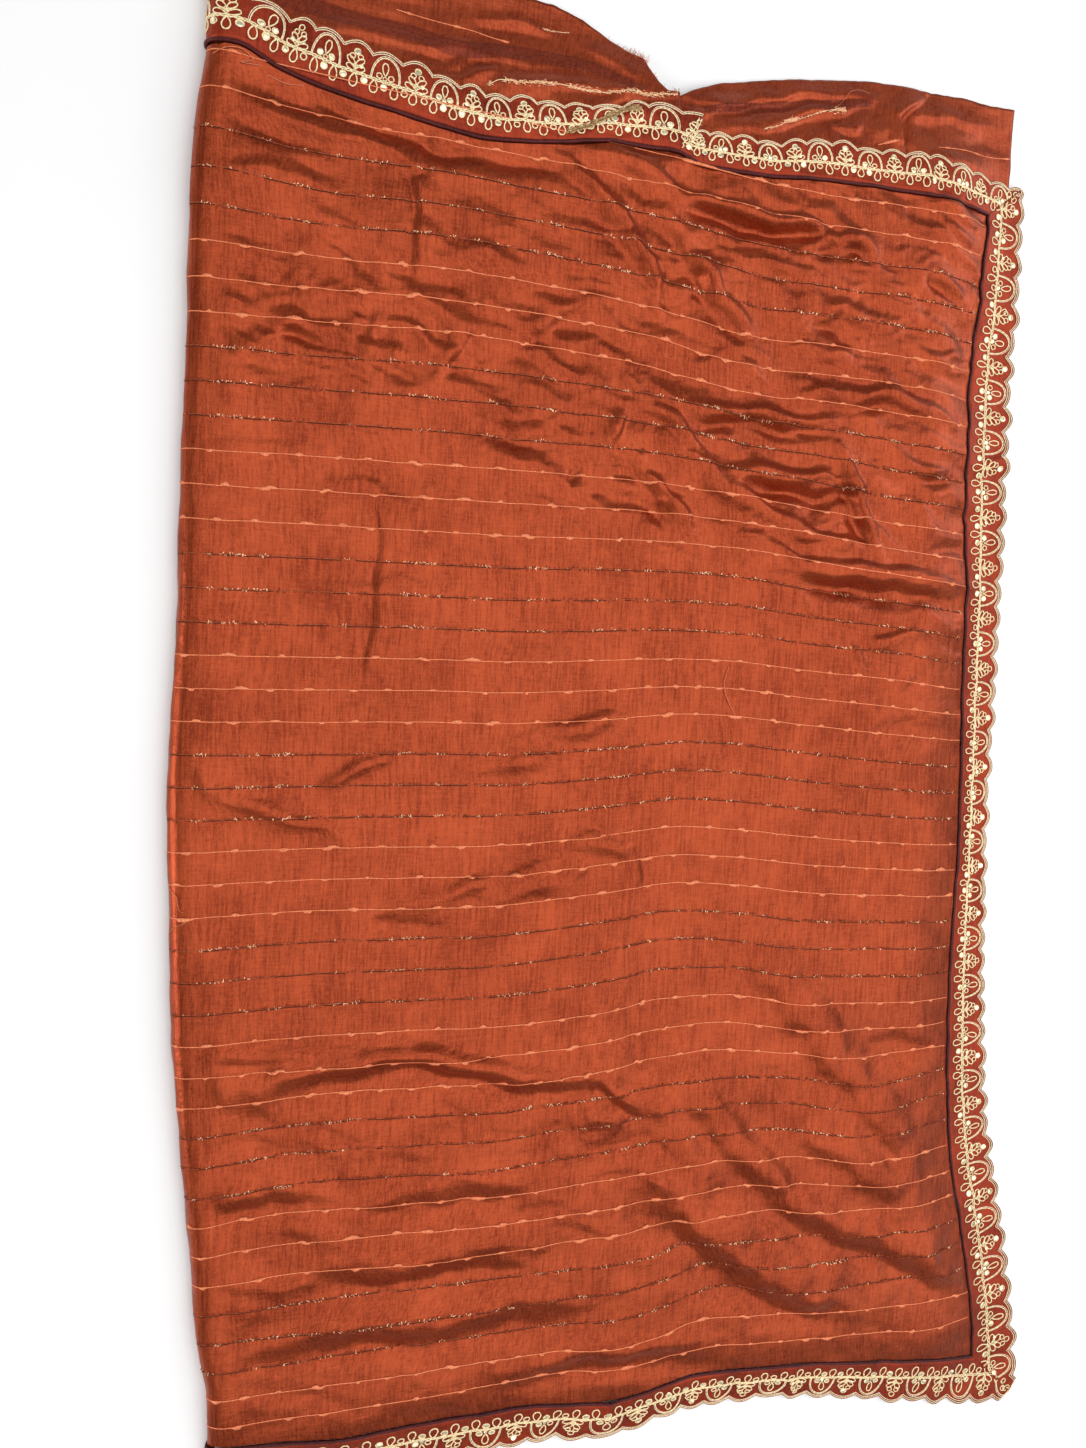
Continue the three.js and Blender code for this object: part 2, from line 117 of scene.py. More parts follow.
# ------------------------------------------------------------------ helpers
def ease(x):
    t = np.clip(x, 0.0, 1.0)
    return t * t * (3 - 2 * t)


def curve(xs, ys):
    """A smooth curve through a table's points."""
    xs, ys = np.asarray(xs, float), np.asarray(ys, float)
    d = np.diff(ys) / np.diff(xs)
    m = np.empty_like(ys)
    m[1:-1], m[0], m[-1] = (d[:-1] + d[1:]) / 2, d[0], d[-1]

    def at(x):
        x = np.clip(x, xs[0], xs[-1])
        i = np.clip(np.searchsorted(xs, x) - 1, 0, len(xs) - 2)
        h = xs[i + 1] - xs[i]
        t = (x - xs[i]) / h
        return (ys[i] * (1 + 2 * t) * (1 - t) ** 2 + h * m[i] * t * (1 - t) ** 2
                + ys[i + 1] * t * t * (3 - 2 * t) + h * m[i + 1] * t * t * (t - 1))

    return at


_perm = np.random.default_rng(11).permutation(256)
_grad = np.random.default_rng(12).normal(size=(256, 2))
_grad /= np.linalg.norm(_grad, axis=1)[:, None]


def noise2(x, y, seed=0):
    """Smooth gradient noise, about -1 to 1."""
    x, y = np.asarray(x, float), np.asarray(y, float)
    x0, y0 = np.floor(x).astype(int), np.floor(y).astype(int)
    fx, fy = x - x0, y - y0
    u, v = fx ** 3 * (fx * (fx * 6 - 15) + 10), fy ** 3 * (fy * (fy * 6 - 15) + 10)

    def g(ix, iy):
        k = _perm[(_perm[(ix + seed * 37) & 255] + iy + seed * 101) & 255]
        return _grad[k, 0] * (x - ix) + _grad[k, 1] * (y - iy)

    a = g(x0, y0) * (1 - u) + g(x0 + 1, y0) * u
    b = g(x0, y0 + 1) * (1 - u) + g(x0 + 1, y0 + 1) * u
    return 1.5 * (a * (1 - v) + b * v)


fold_x, seam_x, rim_x = (curve(SIDES[:, 0], SIDES[:, c]) for c in (1, 2, 3))
top_y, toprim_y, low_y, lowrim_y = (curve(ENDS[:, 0], ENDS[:, c]) for c in (1, 2, 3, 4))
_left = ENDS[ENDS[:, 0] < PLEAT]
_right = ENDS[ENDS[:, 0] > PLEAT]
toprim_left = curve(list(_left[:, 0]) + [0.58], list(_left[:, 2]) + [540])
toprim_right = curve([0.53] + list(_right[:, 0]), [523] + list(_right[:, 2]))


def plan(a, b):
    return fold_x(b) * (1 - a) + seam_x(b) * a, low_y(a) * (1 - b) + top_y(a) * b


def shares(x, y):
    """The inverse of plan."""
    a = np.clip((x + 397) / 680, 0, 1)
    for _ in range(4):
        b = np.clip((y - low_y(a)) / (top_y(a) - low_y(a)), 0, 1)
        a = np.clip((x - fold_x(b)) / (seam_x(b) - fold_x(b)), 0, 1)
    return a, b


_rows = [curve(WEFT_X, r) for _, r in WEFT]
_wy = np.array([r[0] for r in WEFT], float)


def weft(x, y):
    rows = np.stack([r(x) for r in _rows])
    pos = np.interp(-np.asarray(y, float), -_wy, np.arange(len(_wy)))
    i = np.clip(np.floor(pos).astype(int), 0, len(_wy) - 2)
    t = ease(pos - i) * 0.5 + (pos - i) * 0.5
    cols = np.arange(rows.shape[1])
    return rows[i, cols] * (1 - t) + rows[i + 1, cols] * t


def ground(x, y, a, b):
    end = np.maximum(0, x - (seam_x(b) - STACK_IN_END + SHOULDER))
    low = np.maximum(0, low_y(a) + STACK_IN_LOW - SHOULDER - y)
    top = np.maximum(0, y - (top_y(a) + STACK_OUT_TOP + SHOULDER))
    return STACK_HEIGHT * (1 - ease(np.sqrt(end ** 2 + low ** 2 + top ** 2) / DRAPE_END))


def along(points, x, y):
    """Nearest place on a polyline: distance, signed side (left of the way is positive) and share of its length."""
    p = np.asarray(points, float)
    seg = np.diff(p, axis=0)
    length = np.hypot(seg[:, 0], seg[:, 1])
    start = np.concatenate([[0], np.cumsum(length)])
    best = np.full(x.shape, 1e9)
    side, share, over = np.zeros(x.shape), np.zeros(x.shape), np.zeros(x.shape)
    for i, (q, s, l) in enumerate(zip(p[:-1], seg, length)):
        raw = ((x - q[0]) * s[0] + (y - q[1]) * s[1]) / (l * l)
        t = np.clip(raw, 0, 1)
        dx, dy = x - q[0] - s[0] * t, y - q[1] - s[1] * t
        d = np.hypot(dx, dy)
        near = d < best
        best = np.where(near, d, best)
        side = np.where(near, np.sign(s[0] * dy - s[1] * dx), side)
        share = np.where(near, (start[i] + t * l) / start[-1], share)
    return best, side, share


# The creases of the end panel. rise: mm, a trough is negative. steep and soft: how far the crease reaches
# on its right and on its left, going along its points.
CREASES = [
    # the broad slanting folds towards the lower right
    (2.7, 19, 40, [(50, -133), (97, -187), (157, -273), (213, -343), (291, -448)]),
    (2.4, 18, 36, [(-8, -332), (51, -378), (123, -433), (198, -479)]),
    (1.8, 16, 30, [(-57, -249), (-1, -280), (59, -334), (100, -371)]),
    # rise, steep, soft, points
    (-1.3, 2.0, 4.5, [(-230, 480), (-231, 459), (-244, 452), (-242, 427), (-241, 365)]),
    (1.0, 2.6, 9.0, [(-244, 470), (-238, 440), (-236, 380)]),
    (-1.5, 1.8, 3.5, [(-262, 212), (-262, 167), (-266, 115), (-265, 70)]),
    (-3.2, 7, 9, [(-380, 503), (-340, 493), (-290, 484), (-230, 475), (-170, 472), (-105, 478)]),
    (1.8, 4, 8, [(-352, 478), (-310, 470), (-262, 466), (-236, 458)]),
    (-1.6, 5, 6, [(-380, 470), (-346, 462), (-300, 458)]),
    (1.6, 3, 7, [(-330, 496), (-296, 480), (-258, 474)]),
    (2.2, 4, 11, [(-366, 303), (-340, 322), (-312, 340)]),
    (1.5, 3, 8, [(-292, 322), (-275, 346)]),
    (1.5, 3, 8, [(-271, 312), (-259, 348)]),
    (1.4, 3, 8, [(-249, 312), (-242, 342)]),
    (2.0, 4, 10, [(-225, 303), (-205, 330), (-192, 350)]),
    (-2.2, 7, 9, [(-176, 270), (-150, 268), (-128, 274)]),
    (2.0, 5, 12, [(-180, 284), (-150, 282), (-122, 286)]),
    (-2.0, 5, 6, [(-100, 254), (-110, 234)]),
    (4.6, 5, 15, [(-36, 378), (-50, 420), (-70, 443), (-92, 460), (-122, 484)]),
    (-2.4, 7, 9, [(-124, 474), (-100, 452), (-76, 432), (-56, 408), (-44, 378)]),
    (2.2, 4, 8, [(-16, 497), (-60, 494), (-112, 490)]),
    (2.4, 4, 8, [(-24, 470), (-44, 481), (-70, 492)]),
    (4.8, 3.4, 9, [(104, 468), (60, 468), (28, 469), (-18, 472), (-38, 480)]),
    (-4.2, 5, 7, [(110, 458), (60, 459), (20, 458), (-16, 462)]),
    (3.0, 5, 13, [(48, 374), (20, 396), (-2, 422), (-22, 446)]),
    (-2.0, 6, 7, [(36, 368), (8, 388), (-14, 414), (-30, 436)]),
    (2.4, 4, 8, [(165, 449), (143, 465), (115, 461), (86, 448)]),
    (-2.0, 4, 6, [(158, 441), (140, 455), (116, 451), (96, 442)]),
    (2.0, 3.5, 7, [(216, 512), (238, 503), (262, 494)]),
    (1.8, 3.5, 7, [(214, 496), (236, 488), (258, 478)]),
    (-2.0, 5, 5, [(212, 444), (226, 434), (240, 424)]),
    (1.8, 4, 6, [(222, 452), (238, 440), (250, 428)]),
    (2.6, 4, 9, [(-80, 270), (-70, 286), (-62, 300)]),
    (3.2, 3.5, 12, [(30, 261), (14, 265), (-8, 290), (-37, 309), (-70, 328)]),
    (3.0, 3.5, 11, [(4, 204), (-10, 227), (-34, 251), (-62, 279)]),
    (-2.8, 7, 10, [(-2, 196), (-22, 216), (-44, 240), (-62, 262)]),
    (4.2, 4, 14, [(182, 210), (95, 218), (66, 231), (17, 258), (-30, 284)]),
    (3.4, 4, 10, [(152, 262), (113, 262), (82, 266), (28, 262)]),
    (-3.0, 6, 8, [(160, 250), (120, 247), (86, 250), (44, 250)]),
    (3.0, 4, 9, [(130, 309), (91, 311), (49, 312), (-15, 308), (-30, 322)]),
    (-2.2, 6, 7, [(124, 298), (88, 299), (48, 300), (0, 297)]),
    (2.8, 4, 10, [(256, 326), (210, 336), (171, 342), (88, 332)]),
    (-2.0, 6, 7, [(250, 314), (208, 325), (171, 330), (96, 321)]),
    (2.8, 3.5, 9, [(182, 209), (165, 233), (155, 257), (143, 278), (132, 292)]),
    (-2.4, 6, 7, [(172, 206), (155, 228), (145, 250), (134, 270)]),
    (4.4, 4.5, 15, [(270, 183), (228, 187), (182, 188), (105, 188), (64, 202)]),
    (-4.0, 9, 10, [(266, 164), (230, 168), (184, 169), (120, 172), (84, 184)]),
    (2.0, 4, 9, [(236, 139), (204, 133), (172, 124)]),
    (1.8, 3, 7, [(175, 100), (164, 114), (156, 124)]),
    (1.6, 3, 8, [(160, 92), (132, 92), (104, 88)]),
    (1.2, 3, 6, [(228, 104), (214, 96), (204, 84)]),
    (1.9, 3.2, 10, [(-58, 56), (-100, 46), (-152, 34)]),
    (1.8, 3.2, 8, [(-36, 48), (-65, 52), (-108, 40)]),
    (1.3, 3, 6, [(-374, -5), (-388, 7)]),
    (2.1, 3.0, 8, [(-266, -49), (-295, -34), (-318, -24), (-368, -6)]),
    (2.1, 3.0, 9, [(-240, 22), (-270, 14), (-290, -1)]),
    (1.7, 3.2, 9, [(-94, 21), (-135, 19), (-184, 12)]),
    (2.2, 3.2, 9, [(-38, -52), (-73, -42), (-100, -50)]),
    (1.6, 3, 7, [(-24, -88), (-37, -62)]),
    (2.2, 3.4, 10, [(-74, -58), (-131, -72), (-192, -85), (-242, -96)]),
    (-2.0, 7, 9, [(-188, -120), (-222, -116), (-262, -112)]),
    (2.0, 3.4, 9, [(-80, -60), (-97, -78), (-162, -92)]),
    (2.0, 3.6, 10, [(-240, -208), (-304, -208), (-382, -205)]),
    (4.0, 3.4, 14, [(-60, -242), (-123, -240), (-161, -226), (-211, -215), (-258, -216), (-303, -223), (-364, -227)]),
    (-2.6, 9, 10, [(-70, -256), (-130, -254), (-165, -240), (-211, -229), (-258, -230), (-310, -238)]),
    (2.0, 3.6, 8, [(-162, -225), (-196, -216), (-230, -202)]),
    (2.4, 3.4, 9, [(-36, -290), (-54, -280), (-76, -270)]),
    (2.2, 3.4, 8, [(-16, -284), (-35, -262), (-66, -243)]),
    (-1.9, 7, 7, [(-34, -276), (-52, -262), (-66, -252)]),
    (-1.7, 16, 22, [(-35, 11), (-22, -98), (-23, -183), (-21, -313)]),
    (2.2, 12, 22, [(262, -350), (236, -309), (203, -276), (167, -238), (124, -182), (84, -137), (48, -100)]),
    (-2.6, 15, 17, [(246, -362), (214, -330), (184, -296), (148, -258), (104, -206), (70, -165), (44, -138)]),
    (2.0, 10, 18, [(118, -352), (77, -317), (49, -283), (12, -246)]),
    (-2.2, 12, 14, [(104, -362), (64, -330), (34, -296), (6, -270)]),
    (2.6, 9, 20, [(324, -482), (274, -443), (178, -397), (137, -373), (89, -328), (48, -300)]),
    (-2.8, 13, 15, [(310, -496), (262, -460), (170, -416), (124, -392), (78, -350)]),
    (2.2, 10, 18, [(200, -482), (149, -463), (83, -424), (37, -379), (-22, -326)]),
    (-2.4, 13, 15, [(186, -494), (138, -480), (72, -442), (24, -398), (-28, -352)]),
    (2.0, 9, 14, [(260, -368), (223, -358), (177, -331), (122, -293)]),
    (-1.9, 10, 11, [(276, -250), (236, -244), (194, -236)]),
    (-1.7, 8, 9, [(-384, -400), (-364, -404), (-346, -408)]),
    (1.9, 10, 14, [(-100, -392), (-160, -380), (-220, -386), (-280, -376)]),
    (-2.0, 12, 14, [(-110, -408), (-168, -398), (-226, -404), (-284, -396)]),
    (1.9, 10, 15, [(-60, -440), (-120, -432), (-190, -440), (-250, -430), (-320, -436)]),
    (-2.0, 12, 13, [(-60, -456), (-124, -450), (-194, -458), (-256, -448), (-322, -452)]),
    (1.6, 10, 14, [(60, -500), (0, -490), (-60, -484), (-140, -486)]),
    (-1.7, 11, 12, [(70, -514), (6, -506), (-60, -500), (-136, -502)]),
    (1.5, 9, 13, [(-300, -318), (-340, -312), (-384, -316)]),
    (-1.6, 10, 11, [(-296, -332), (-340, -327), (-382, -330)]),
    (1.3, 9, 14, [(-120, -330), (-180, -322), (-240, -330)]),
    (-1.4, 10, 12, [(-124, -346), (-182, -338), (-242, -346)]),
    (1.3, 8, 12, [(-180, 140), (-240, 150), (-300, 142)]),
    (1.2, 8, 12, [(-90, 110), (-140, 96), (-190, 102)]),
    (1.3, 8, 12, [(-300, 240), (-340, 246), (-386, 238)]),
    (-1.3, 10, 12, [(-200, 226), (-250, 232), (-310, 226)]),
    (1.4, 7, 11, [(-130, 392), (-180, 402), (-226, 396)]),
    (-1.5, 9, 10, [(-134, 380), (-182, 388), (-226, 382)]),
    (1.4, 6, 10, [(-300, 430), (-340, 438), (-380, 430)]),
    (1.6, 5, 9, [(-150, 350), (-120, 372), (-86, 384)]),
    (-1.6, 8, 9, [(-160, 334), (-126, 354), (-92, 366)]),
    (1.7, 5, 10, [(200, 408), (168, 400), (130, 408), (96, 396)]),
    (-1.6, 7, 8, [(202, 396), (168, 388), (132, 396), (98, 384)]),
    (1.6, 5, 9, [(262, 388), (236, 380), (206, 384)]),
    (1.6, 5, 9, [(150, 376), (118, 366), (82, 372)]),
    (1.5, 5, 9, [(258, 286), (230, 280), (196, 290)]),
    (-1.6, 7, 8, [(258, 274), (230, 268), (196, 276)]),
    (1.6, 5, 9, [(60, 344), (26, 352), (-8, 340)]),
    (1.4, 6, 10, [(262, 60), (220, 66), (180, 58)]),
    (-1.3, 8, 10, [(262, 46), (220, 52), (180, 44)]),
    (1.2, 8, 12, [(120, 10), (170, 2), (230, 8)]),
    (-1.3, 10, 12, [(20, 60), (50, 20), (66, -30)]),
]
# Where the cloth is crumpled finer: x, y, reach along x, reach along y, strength
CRUMPLED = [
    (120, 420, 170, 90, 1.0), (110, 240, 170, 70, 1.0), (-90, 270, 70, 60, 0.8), (-40, 440, 60, 60, 0.9),
    (-310, 330, 90, 50, 0.7), (200, 110, 80, 40, 0.6), (-90, 20, 90, 50, 0.45), (-120, -70, 90, 30, 0.4),
    (-50, -270, 70, 40, 0.55), (-224, 349, 190, 55, 0.55), (-238, -331, 190, 110, 0.5), (-330, -20, 60, 40, 0.4), (230, 500, 50, 40, 0.9),
]


def crumple(x, y):
    """Heights of the creases, mm, over the lie of the cloth."""
    wob = 5.0 * noise2(x / 34, y / 34, 3)
    wob2 = 5.0 * noise2(x / 34, y / 34, 4)
    xs, ys = x + wob, y + wob2
    out = np.zeros(x.shape)
    for rise, steep, soft, points in CREASES:
        p = np.asarray(points, float)
        reach = 2.4 * max(steep, soft) + 8
        inside = ((x > p[:, 0].min() - reach) & (x < p[:, 0].max() + reach)
                  & (y > p[:, 1].min() - reach) & (y < p[:, 1].max() + reach))
        if not inside.any():
            continue
        d, side, share = along(points, xs[inside], ys[inside])
        width = np.where(side > 0, soft, steep)
        fade = np.sin(np.pi * np.clip(share * 0.94 + 0.03, 0, 1)) ** 0.7
        uneven = 1 + 0.35 * noise2(xs[inside] / 27, ys[inside] / 27, 5)
        strength = (2.0 + 0.5 * np.exp(-((y[inside] + 25) / 95) ** 2) + 0.4 * ease((y[inside] - 90) / 90) * ease((x[inside] + 20) / 90)
                    + 0.9 * ease((-130 - y[inside]) / 110))
        out[inside] += strength * rise * fade * uneven * np.exp(-(d / width) ** 2)
    # broad, shallow swells, a little longer across the packet than up it
    out += 2.3 * noise2(x / 150, y / 105, 6) + 1.0 * noise2(x / 70 + 0.4 * noise2(x / 60, y / 60, 8), y / 42, 7)
    # finer crumpling where the cloth is pinched
    mask = np.full(x.shape, 0.30)
    for cx, cy, rx, ry, strength in CRUMPLED:
        mask += strength * np.exp(-((x - cx) / rx) ** 2 - ((y - cy) / ry) ** 2)
    mask = np.minimum(mask, 1.25)
    warp_x, warp_y = x + 14 * noise2(x / 40, y / 40, 9), y + 10 * noise2(x / 40, y / 40, 10)
    ridged = (1 - np.abs(noise2(warp_x / 46, (warp_y + 0.25 * warp_x) / 17, 13)) * 1.7)
    fine = (1 - np.abs(noise2(warp_x / 22, (warp_y - 0.2 * warp_x) / 10, 14)) * 1.7)
    patches = noise2((warp_x + 0.3 * warp_y) / 50, (warp_y + 0.2 * warp_x) / 19, 15)
    upper = 1 + 0.45 * ease((y - 130) / 80) + 0.4 * ease((-150 - y) / 110)
    out += upper * mask * (0.9 * ridged + 2.1 * patches + 0.45 * fine - 0.6)
    return np.where(out > 4.5, 4.5 + 4.0 * np.tanh((out - 4.5) / 4.0), out)


def lie_of(x, y):
    """Height of the end panel's upper face, and of its borders', mm."""
    a, b = shares(x, y)
    over = ease((y - (top_y(a) - 115)) / 35)
    left = fold_x(b)
    puff = FOLD_PUFF * np.exp(-(((x - left - FOLD_DEPTH - 8) / 26) ** 2))
    z = ground(x, y, a, b) + GAP + CLOTH + over * (UNDER_CLOTH + GAP + AIR) + puff + 0.9
    beyond = np.maximum(np.maximum(x - seam_x(b), y - top_y(a)), low_y(a) - y)
    free = ease((x - left - FOLD_DEPTH) / 24) * (1 - ease(beyond / 26))
    return z + free * crumple(x, y)


# The heights are worked out once, on an even net, and read from it.
NET = 1.5
NET_X, NET_Y = np.arange(-430, 432, NET), np.arange(-640, 642, NET)
_gx, _gy = np.meshgrid(NET_X, NET_Y)
HEIGHTS = lie_of(_gx.ravel(), _gy.ravel()).reshape(_gx.shape)


def top_of(x, y):
    u = np.clip((x - NET_X[0]) / NET, 0, len(NET_X) - 1.001)
    v = np.clip((y - NET_Y[0]) / NET, 0, len(NET_Y) - 1.001)
    i, j = u.astype(int), v.astype(int)
    u, v = u - i, v - j
    return ((HEIGHTS[j, i] * (1 - u) + HEIGHTS[j, i + 1] * u) * (1 - v)
            + (HEIGHTS[j + 1, i] * (1 - u) + HEIGHTS[j + 1, i + 1] * u) * v)


R_FOLD = 10.4


def drape(xv, y, lift=0.0):
    """A point of the cloth, from where it would be if the left fold were opened out, and its normal."""
    xv, y = np.broadcast_arrays(np.asarray(xv, float), np.asarray(y, float))
    lift = np.broadcast_to(np.asarray(lift, float), xv.shape)
    b0 = np.clip((y - low_y(0.0)) / (top_y(0.0) - low_y(0.0)), 0, 1)
    x0 = fold_x(b0) + FOLD_DEPTH
    flat = xv >= x0
    xf = np.maximum(xv, x0)
    z = top_of(xf, y)
    e = 1.5
    zx = (top_of(xf + e, y) - top_of(np.maximum(xf - e, x0), y)) / (xf + e - np.maximum(xf - e, x0))
    zy = (top_of(xf, y + e) - top_of(xf, y - e)) / (2 * e)
    n = np.stack([-zx, -zy, np.ones_like(z)], -1)
    n /= np.linalg.norm(n, axis=-1)[..., None]
    p = np.stack([xf, y, z], -1) + n * lift[..., None]
    phi = np.clip((x0 - xv) / R_FOLD, 0, math.pi)
    ripple = 0.9 * np.sin(phi) ** 2 * (noise2(y / 38, phi * 1.4, 21) + 0.5 * noise2(y / 15, phi * 2, 22))
    rx, rz = FOLD_DEPTH + lift + ripple, np.maximum(z / 2, 1.0)
    q = np.stack([x0 - rx * np.sin(phi), y, rz + (rz - 0.25 + lift) * np.cos(phi)], -1)
    m = np.stack([-np.sin(phi), zy * 0.0, np.cos(phi)], -1)
    return np.where(flat[..., None], p, q), np.where(flat[..., None], n, m)


# ------------------------------------------------------------------ meshes
class Heap:
    """Gathers many small tubes, blades and discs into one mesh."""

    def __init__(self):
        self.verts, self.quads, self.tris, self.n = [], [], [], 0

    def add(self, verts, quads=None, tris=None):
        if quads is not None and len(quads):
            self.quads.append(np.asarray(quads) + self.n)
        if tris is not None and len(tris):
            self.tris.append(np.asarray(tris) + self.n)
        self.verts.append(np.asarray(verts, float))
        self.n += len(verts)

    def tube(self, centre, normal, wide, high, sides=4, turn=0.25):
        """A closed tube along centre; wide across the surface and high off it, both half sizes in mm."""
        c = np.asarray(centre, float)
        n = len(c)
        if n < 2:
            return
        t = np.gradient(c, axis=0)
        t /= np.maximum(np.linalg.norm(t, axis=1), 1e-9)[:, None]
        side = np.cross(normal, t)
        side /= np.maximum(np.linalg.norm(side, axis=1), 1e-9)[:, None]
        up = np.cross(t, side)
        wide, high = np.broadcast_to(wide, n), np.broadcast_to(high, n)
        ang = (np.arange(sides) + turn * 2) * 2 * math.pi / sides
        ring = (c[:, None, :] + side[:, None, :] * (np.cos(ang)[None, :, None] * wide[:, None, None])
                + up[:, None, :] * (np.sin(ang)[None, :, None] * high[:, None, None]))
        i = np.arange(n - 1)[:, None] * sides
        k = np.arange(sides)[None, :]
        k2 = (k + 1) % sides
        quads = np.stack([i + k, i + k2, i + sides + k2, i + sides + k], -1).reshape(-1, 4)
        caps = [[0, j + 1, j] for j in range(1, sides - 1)]
        last = (n - 1) * sides
        caps += [[last, last + j, last + j + 1] for j in range(1, sides - 1)]
        self.add(ring.reshape(-1, 3), quads, caps)

    def disc(self, centre, normal, radius, dome=0.25, sides=10):
        """A small closed cupped disc."""
        n = np.asarray(normal, float) / np.linalg.norm(normal)
        u = np.cross(n, [0.3, 0.9, 0.1])
        u /= np.linalg.norm(u)
        v = np.cross(n, u)
        ang = np.arange(sides) * 2 * math.pi / sides
        ring = np.cos(ang)[:, None] * u + np.sin(ang)[:, None] * v
        verts = [centre + n * (0.12 + dome)]
        verts += list(centre + ring * radius * 0.62 + n * (0.12 + dome * 0.8))
        verts += list(centre + ring * radius + n * 0.1)
        verts += list(centre + ring * radius * 0.9 - n * 0.08)
        s = sides
        tris = [[0, 1 + k, 1 + (k + 1) % s] for k in range(s)]
        quads = []
        for r in (0, 1):
            o = 1 + r * s
            quads += [[o + k, o + s + k, o + s + (k + 1) % s, o + (k + 1) % s] for k in range(s)]
        o = 1 + 2 * s
        tris += [[o, o + k + 1, o + k] for k in range(1, s - 1)]
        self.add(verts, quads, tris)

    def object(self, name, material, slot, smooth=True):
        verts = np.concatenate(self.verts) * MM
        faces = []
        for group in self.quads:
            faces += group.tolist()
        for group in self.tris:
            faces += group.tolist()
        return mesh_object(name, verts, faces, material, smooth)


def mesh_object(name, verts, faces, material, smooth=True):
    mesh = bpy.data.meshes.new(name)
    verts = np.array(verts, float)
    verts[:, 2] = np.maximum(verts[:, 2], 0.0)
    mesh.from_pydata(verts.tolist(), [], faces)
    mesh.materials.append(material)
    mesh.polygons.foreach_set("use_smooth", np.full(len(mesh.polygons), smooth))
    mesh.update()
    ob = bpy.data.objects.new(name, mesh)
    bpy.context.scene.collection.objects.link(ob)
    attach(ob, BODY)
    return ob


def grid_faces(rows, cols):
    i = np.arange(rows - 1)[:, None] * cols + np.arange(cols - 1)[None, :]
    return np.stack([i, i + 1, i + cols + 1, i + cols], -1).reshape(-1, 4)


# ------------------------------------------------------------------ materials
class Nodes:
    def __init__(self, name):
        self.mat = bpy.data.materials.new(name)
        self.mat.use_nodes = True
        self.tree = self.mat.node_tree
        self.bsdf = next(n for n in self.tree.nodes if n.type == "BSDF_PRINCIPLED")

    def new(self, kind, **values):
        node = self.tree.nodes.new(kind)
        for k, v in values.items():
            if k.startswith("in_"):
                key = k[3:]
                key = int(key) if key.isdigit() else key.replace("_", " ")
                node.inputs[key].default_value = v
            else:
                setattr(node, k, v)
        return node

    def link(self, a, b):
        self.tree.links.new(a, b)

    def math(self, op, a, b=None, clamp=False):
        node = self.new("ShaderNodeMath", operation=op, use_clamp=clamp)
        for socket, value in zip(node.inputs, (a, b)):
            if value is None:
                continue
            if isinstance(value, (int, float)):
                socket.default_value = value
            else:
                self.link(value, socket)
        return node.outputs[0]

    def noise(self, vector, scale, detail=2.0, rough=0.5):
        node = self.new("ShaderNodeTexNoise", noise_dimensions="3D")
        node.inputs["Scale"].default_value = scale
        node.inputs["Detail"].default_value = detail
        node.inputs["Roughness"].default_value = rough
        self.link(vector, node.inputs["Vector"])
        return node.outputs["Fac"]

    def ramp(self, fac, stops):
        node = self.new("ShaderNodeValToRGB")
        el = node.color_ramp.elements
        while len(el) < len(stops):
            el.new(0.5)
        for e, (pos, col) in zip(el, stops):
            e.position = pos
            e.color = (*col, 1.0)
        self.link(fac, node.inputs["Fac"])
        return node.outputs["Color"]

    def mix(self, fac, a, b, blend="MIX"):
        node = self.new("ShaderNodeMix", data_type="RGBA", blend_type=blend)
        for key, value in ((0, fac), (6, a), (7, b)):
            if isinstance(value, (int, float)):
                node.inputs[key].default_value = value
            elif isinstance(value, tuple):
                node.inputs[key].default_value = (*value, 1.0)
            else:
                self.link(value, node.inputs[key])
        return node.outputs[2]

    def cloth_vector(self, sx, sy, sz=1.0):
        """Object coordinates with x following the cloth round the left fold."""
        tc = self.new("ShaderNodeTexCoord")
        sep = self.new("ShaderNodeSeparateXYZ")
        self.link(tc.outputs["Object"], sep.inputs[0])
        x = self.math("ADD", sep.outputs[0], sep.outputs[2])
        comb = self.new("ShaderNodeCombineXYZ")
        self.link(self.math("MULTIPLY", x, sx), comb.inputs[0])
        self.link(self.math("MULTIPLY", sep.outputs[1], sy), comb.inputs[1])
        self.link(self.math("MULTIPLY", sep.outputs[2], sz), comb.inputs[2])
        return comb.outputs[0]

    def bump(self, height, strength, distance, normal=None):
        node = self.new("ShaderNodeBump")
        node.inputs["Strength"].default_value = strength
        node.inputs["Distance"].default_value = distance
        self.link(height, node.inputs["Height"])
        if normal is not None:
            self.link(normal, node.inputs["Normal"])
        return node.outputs["Normal"]


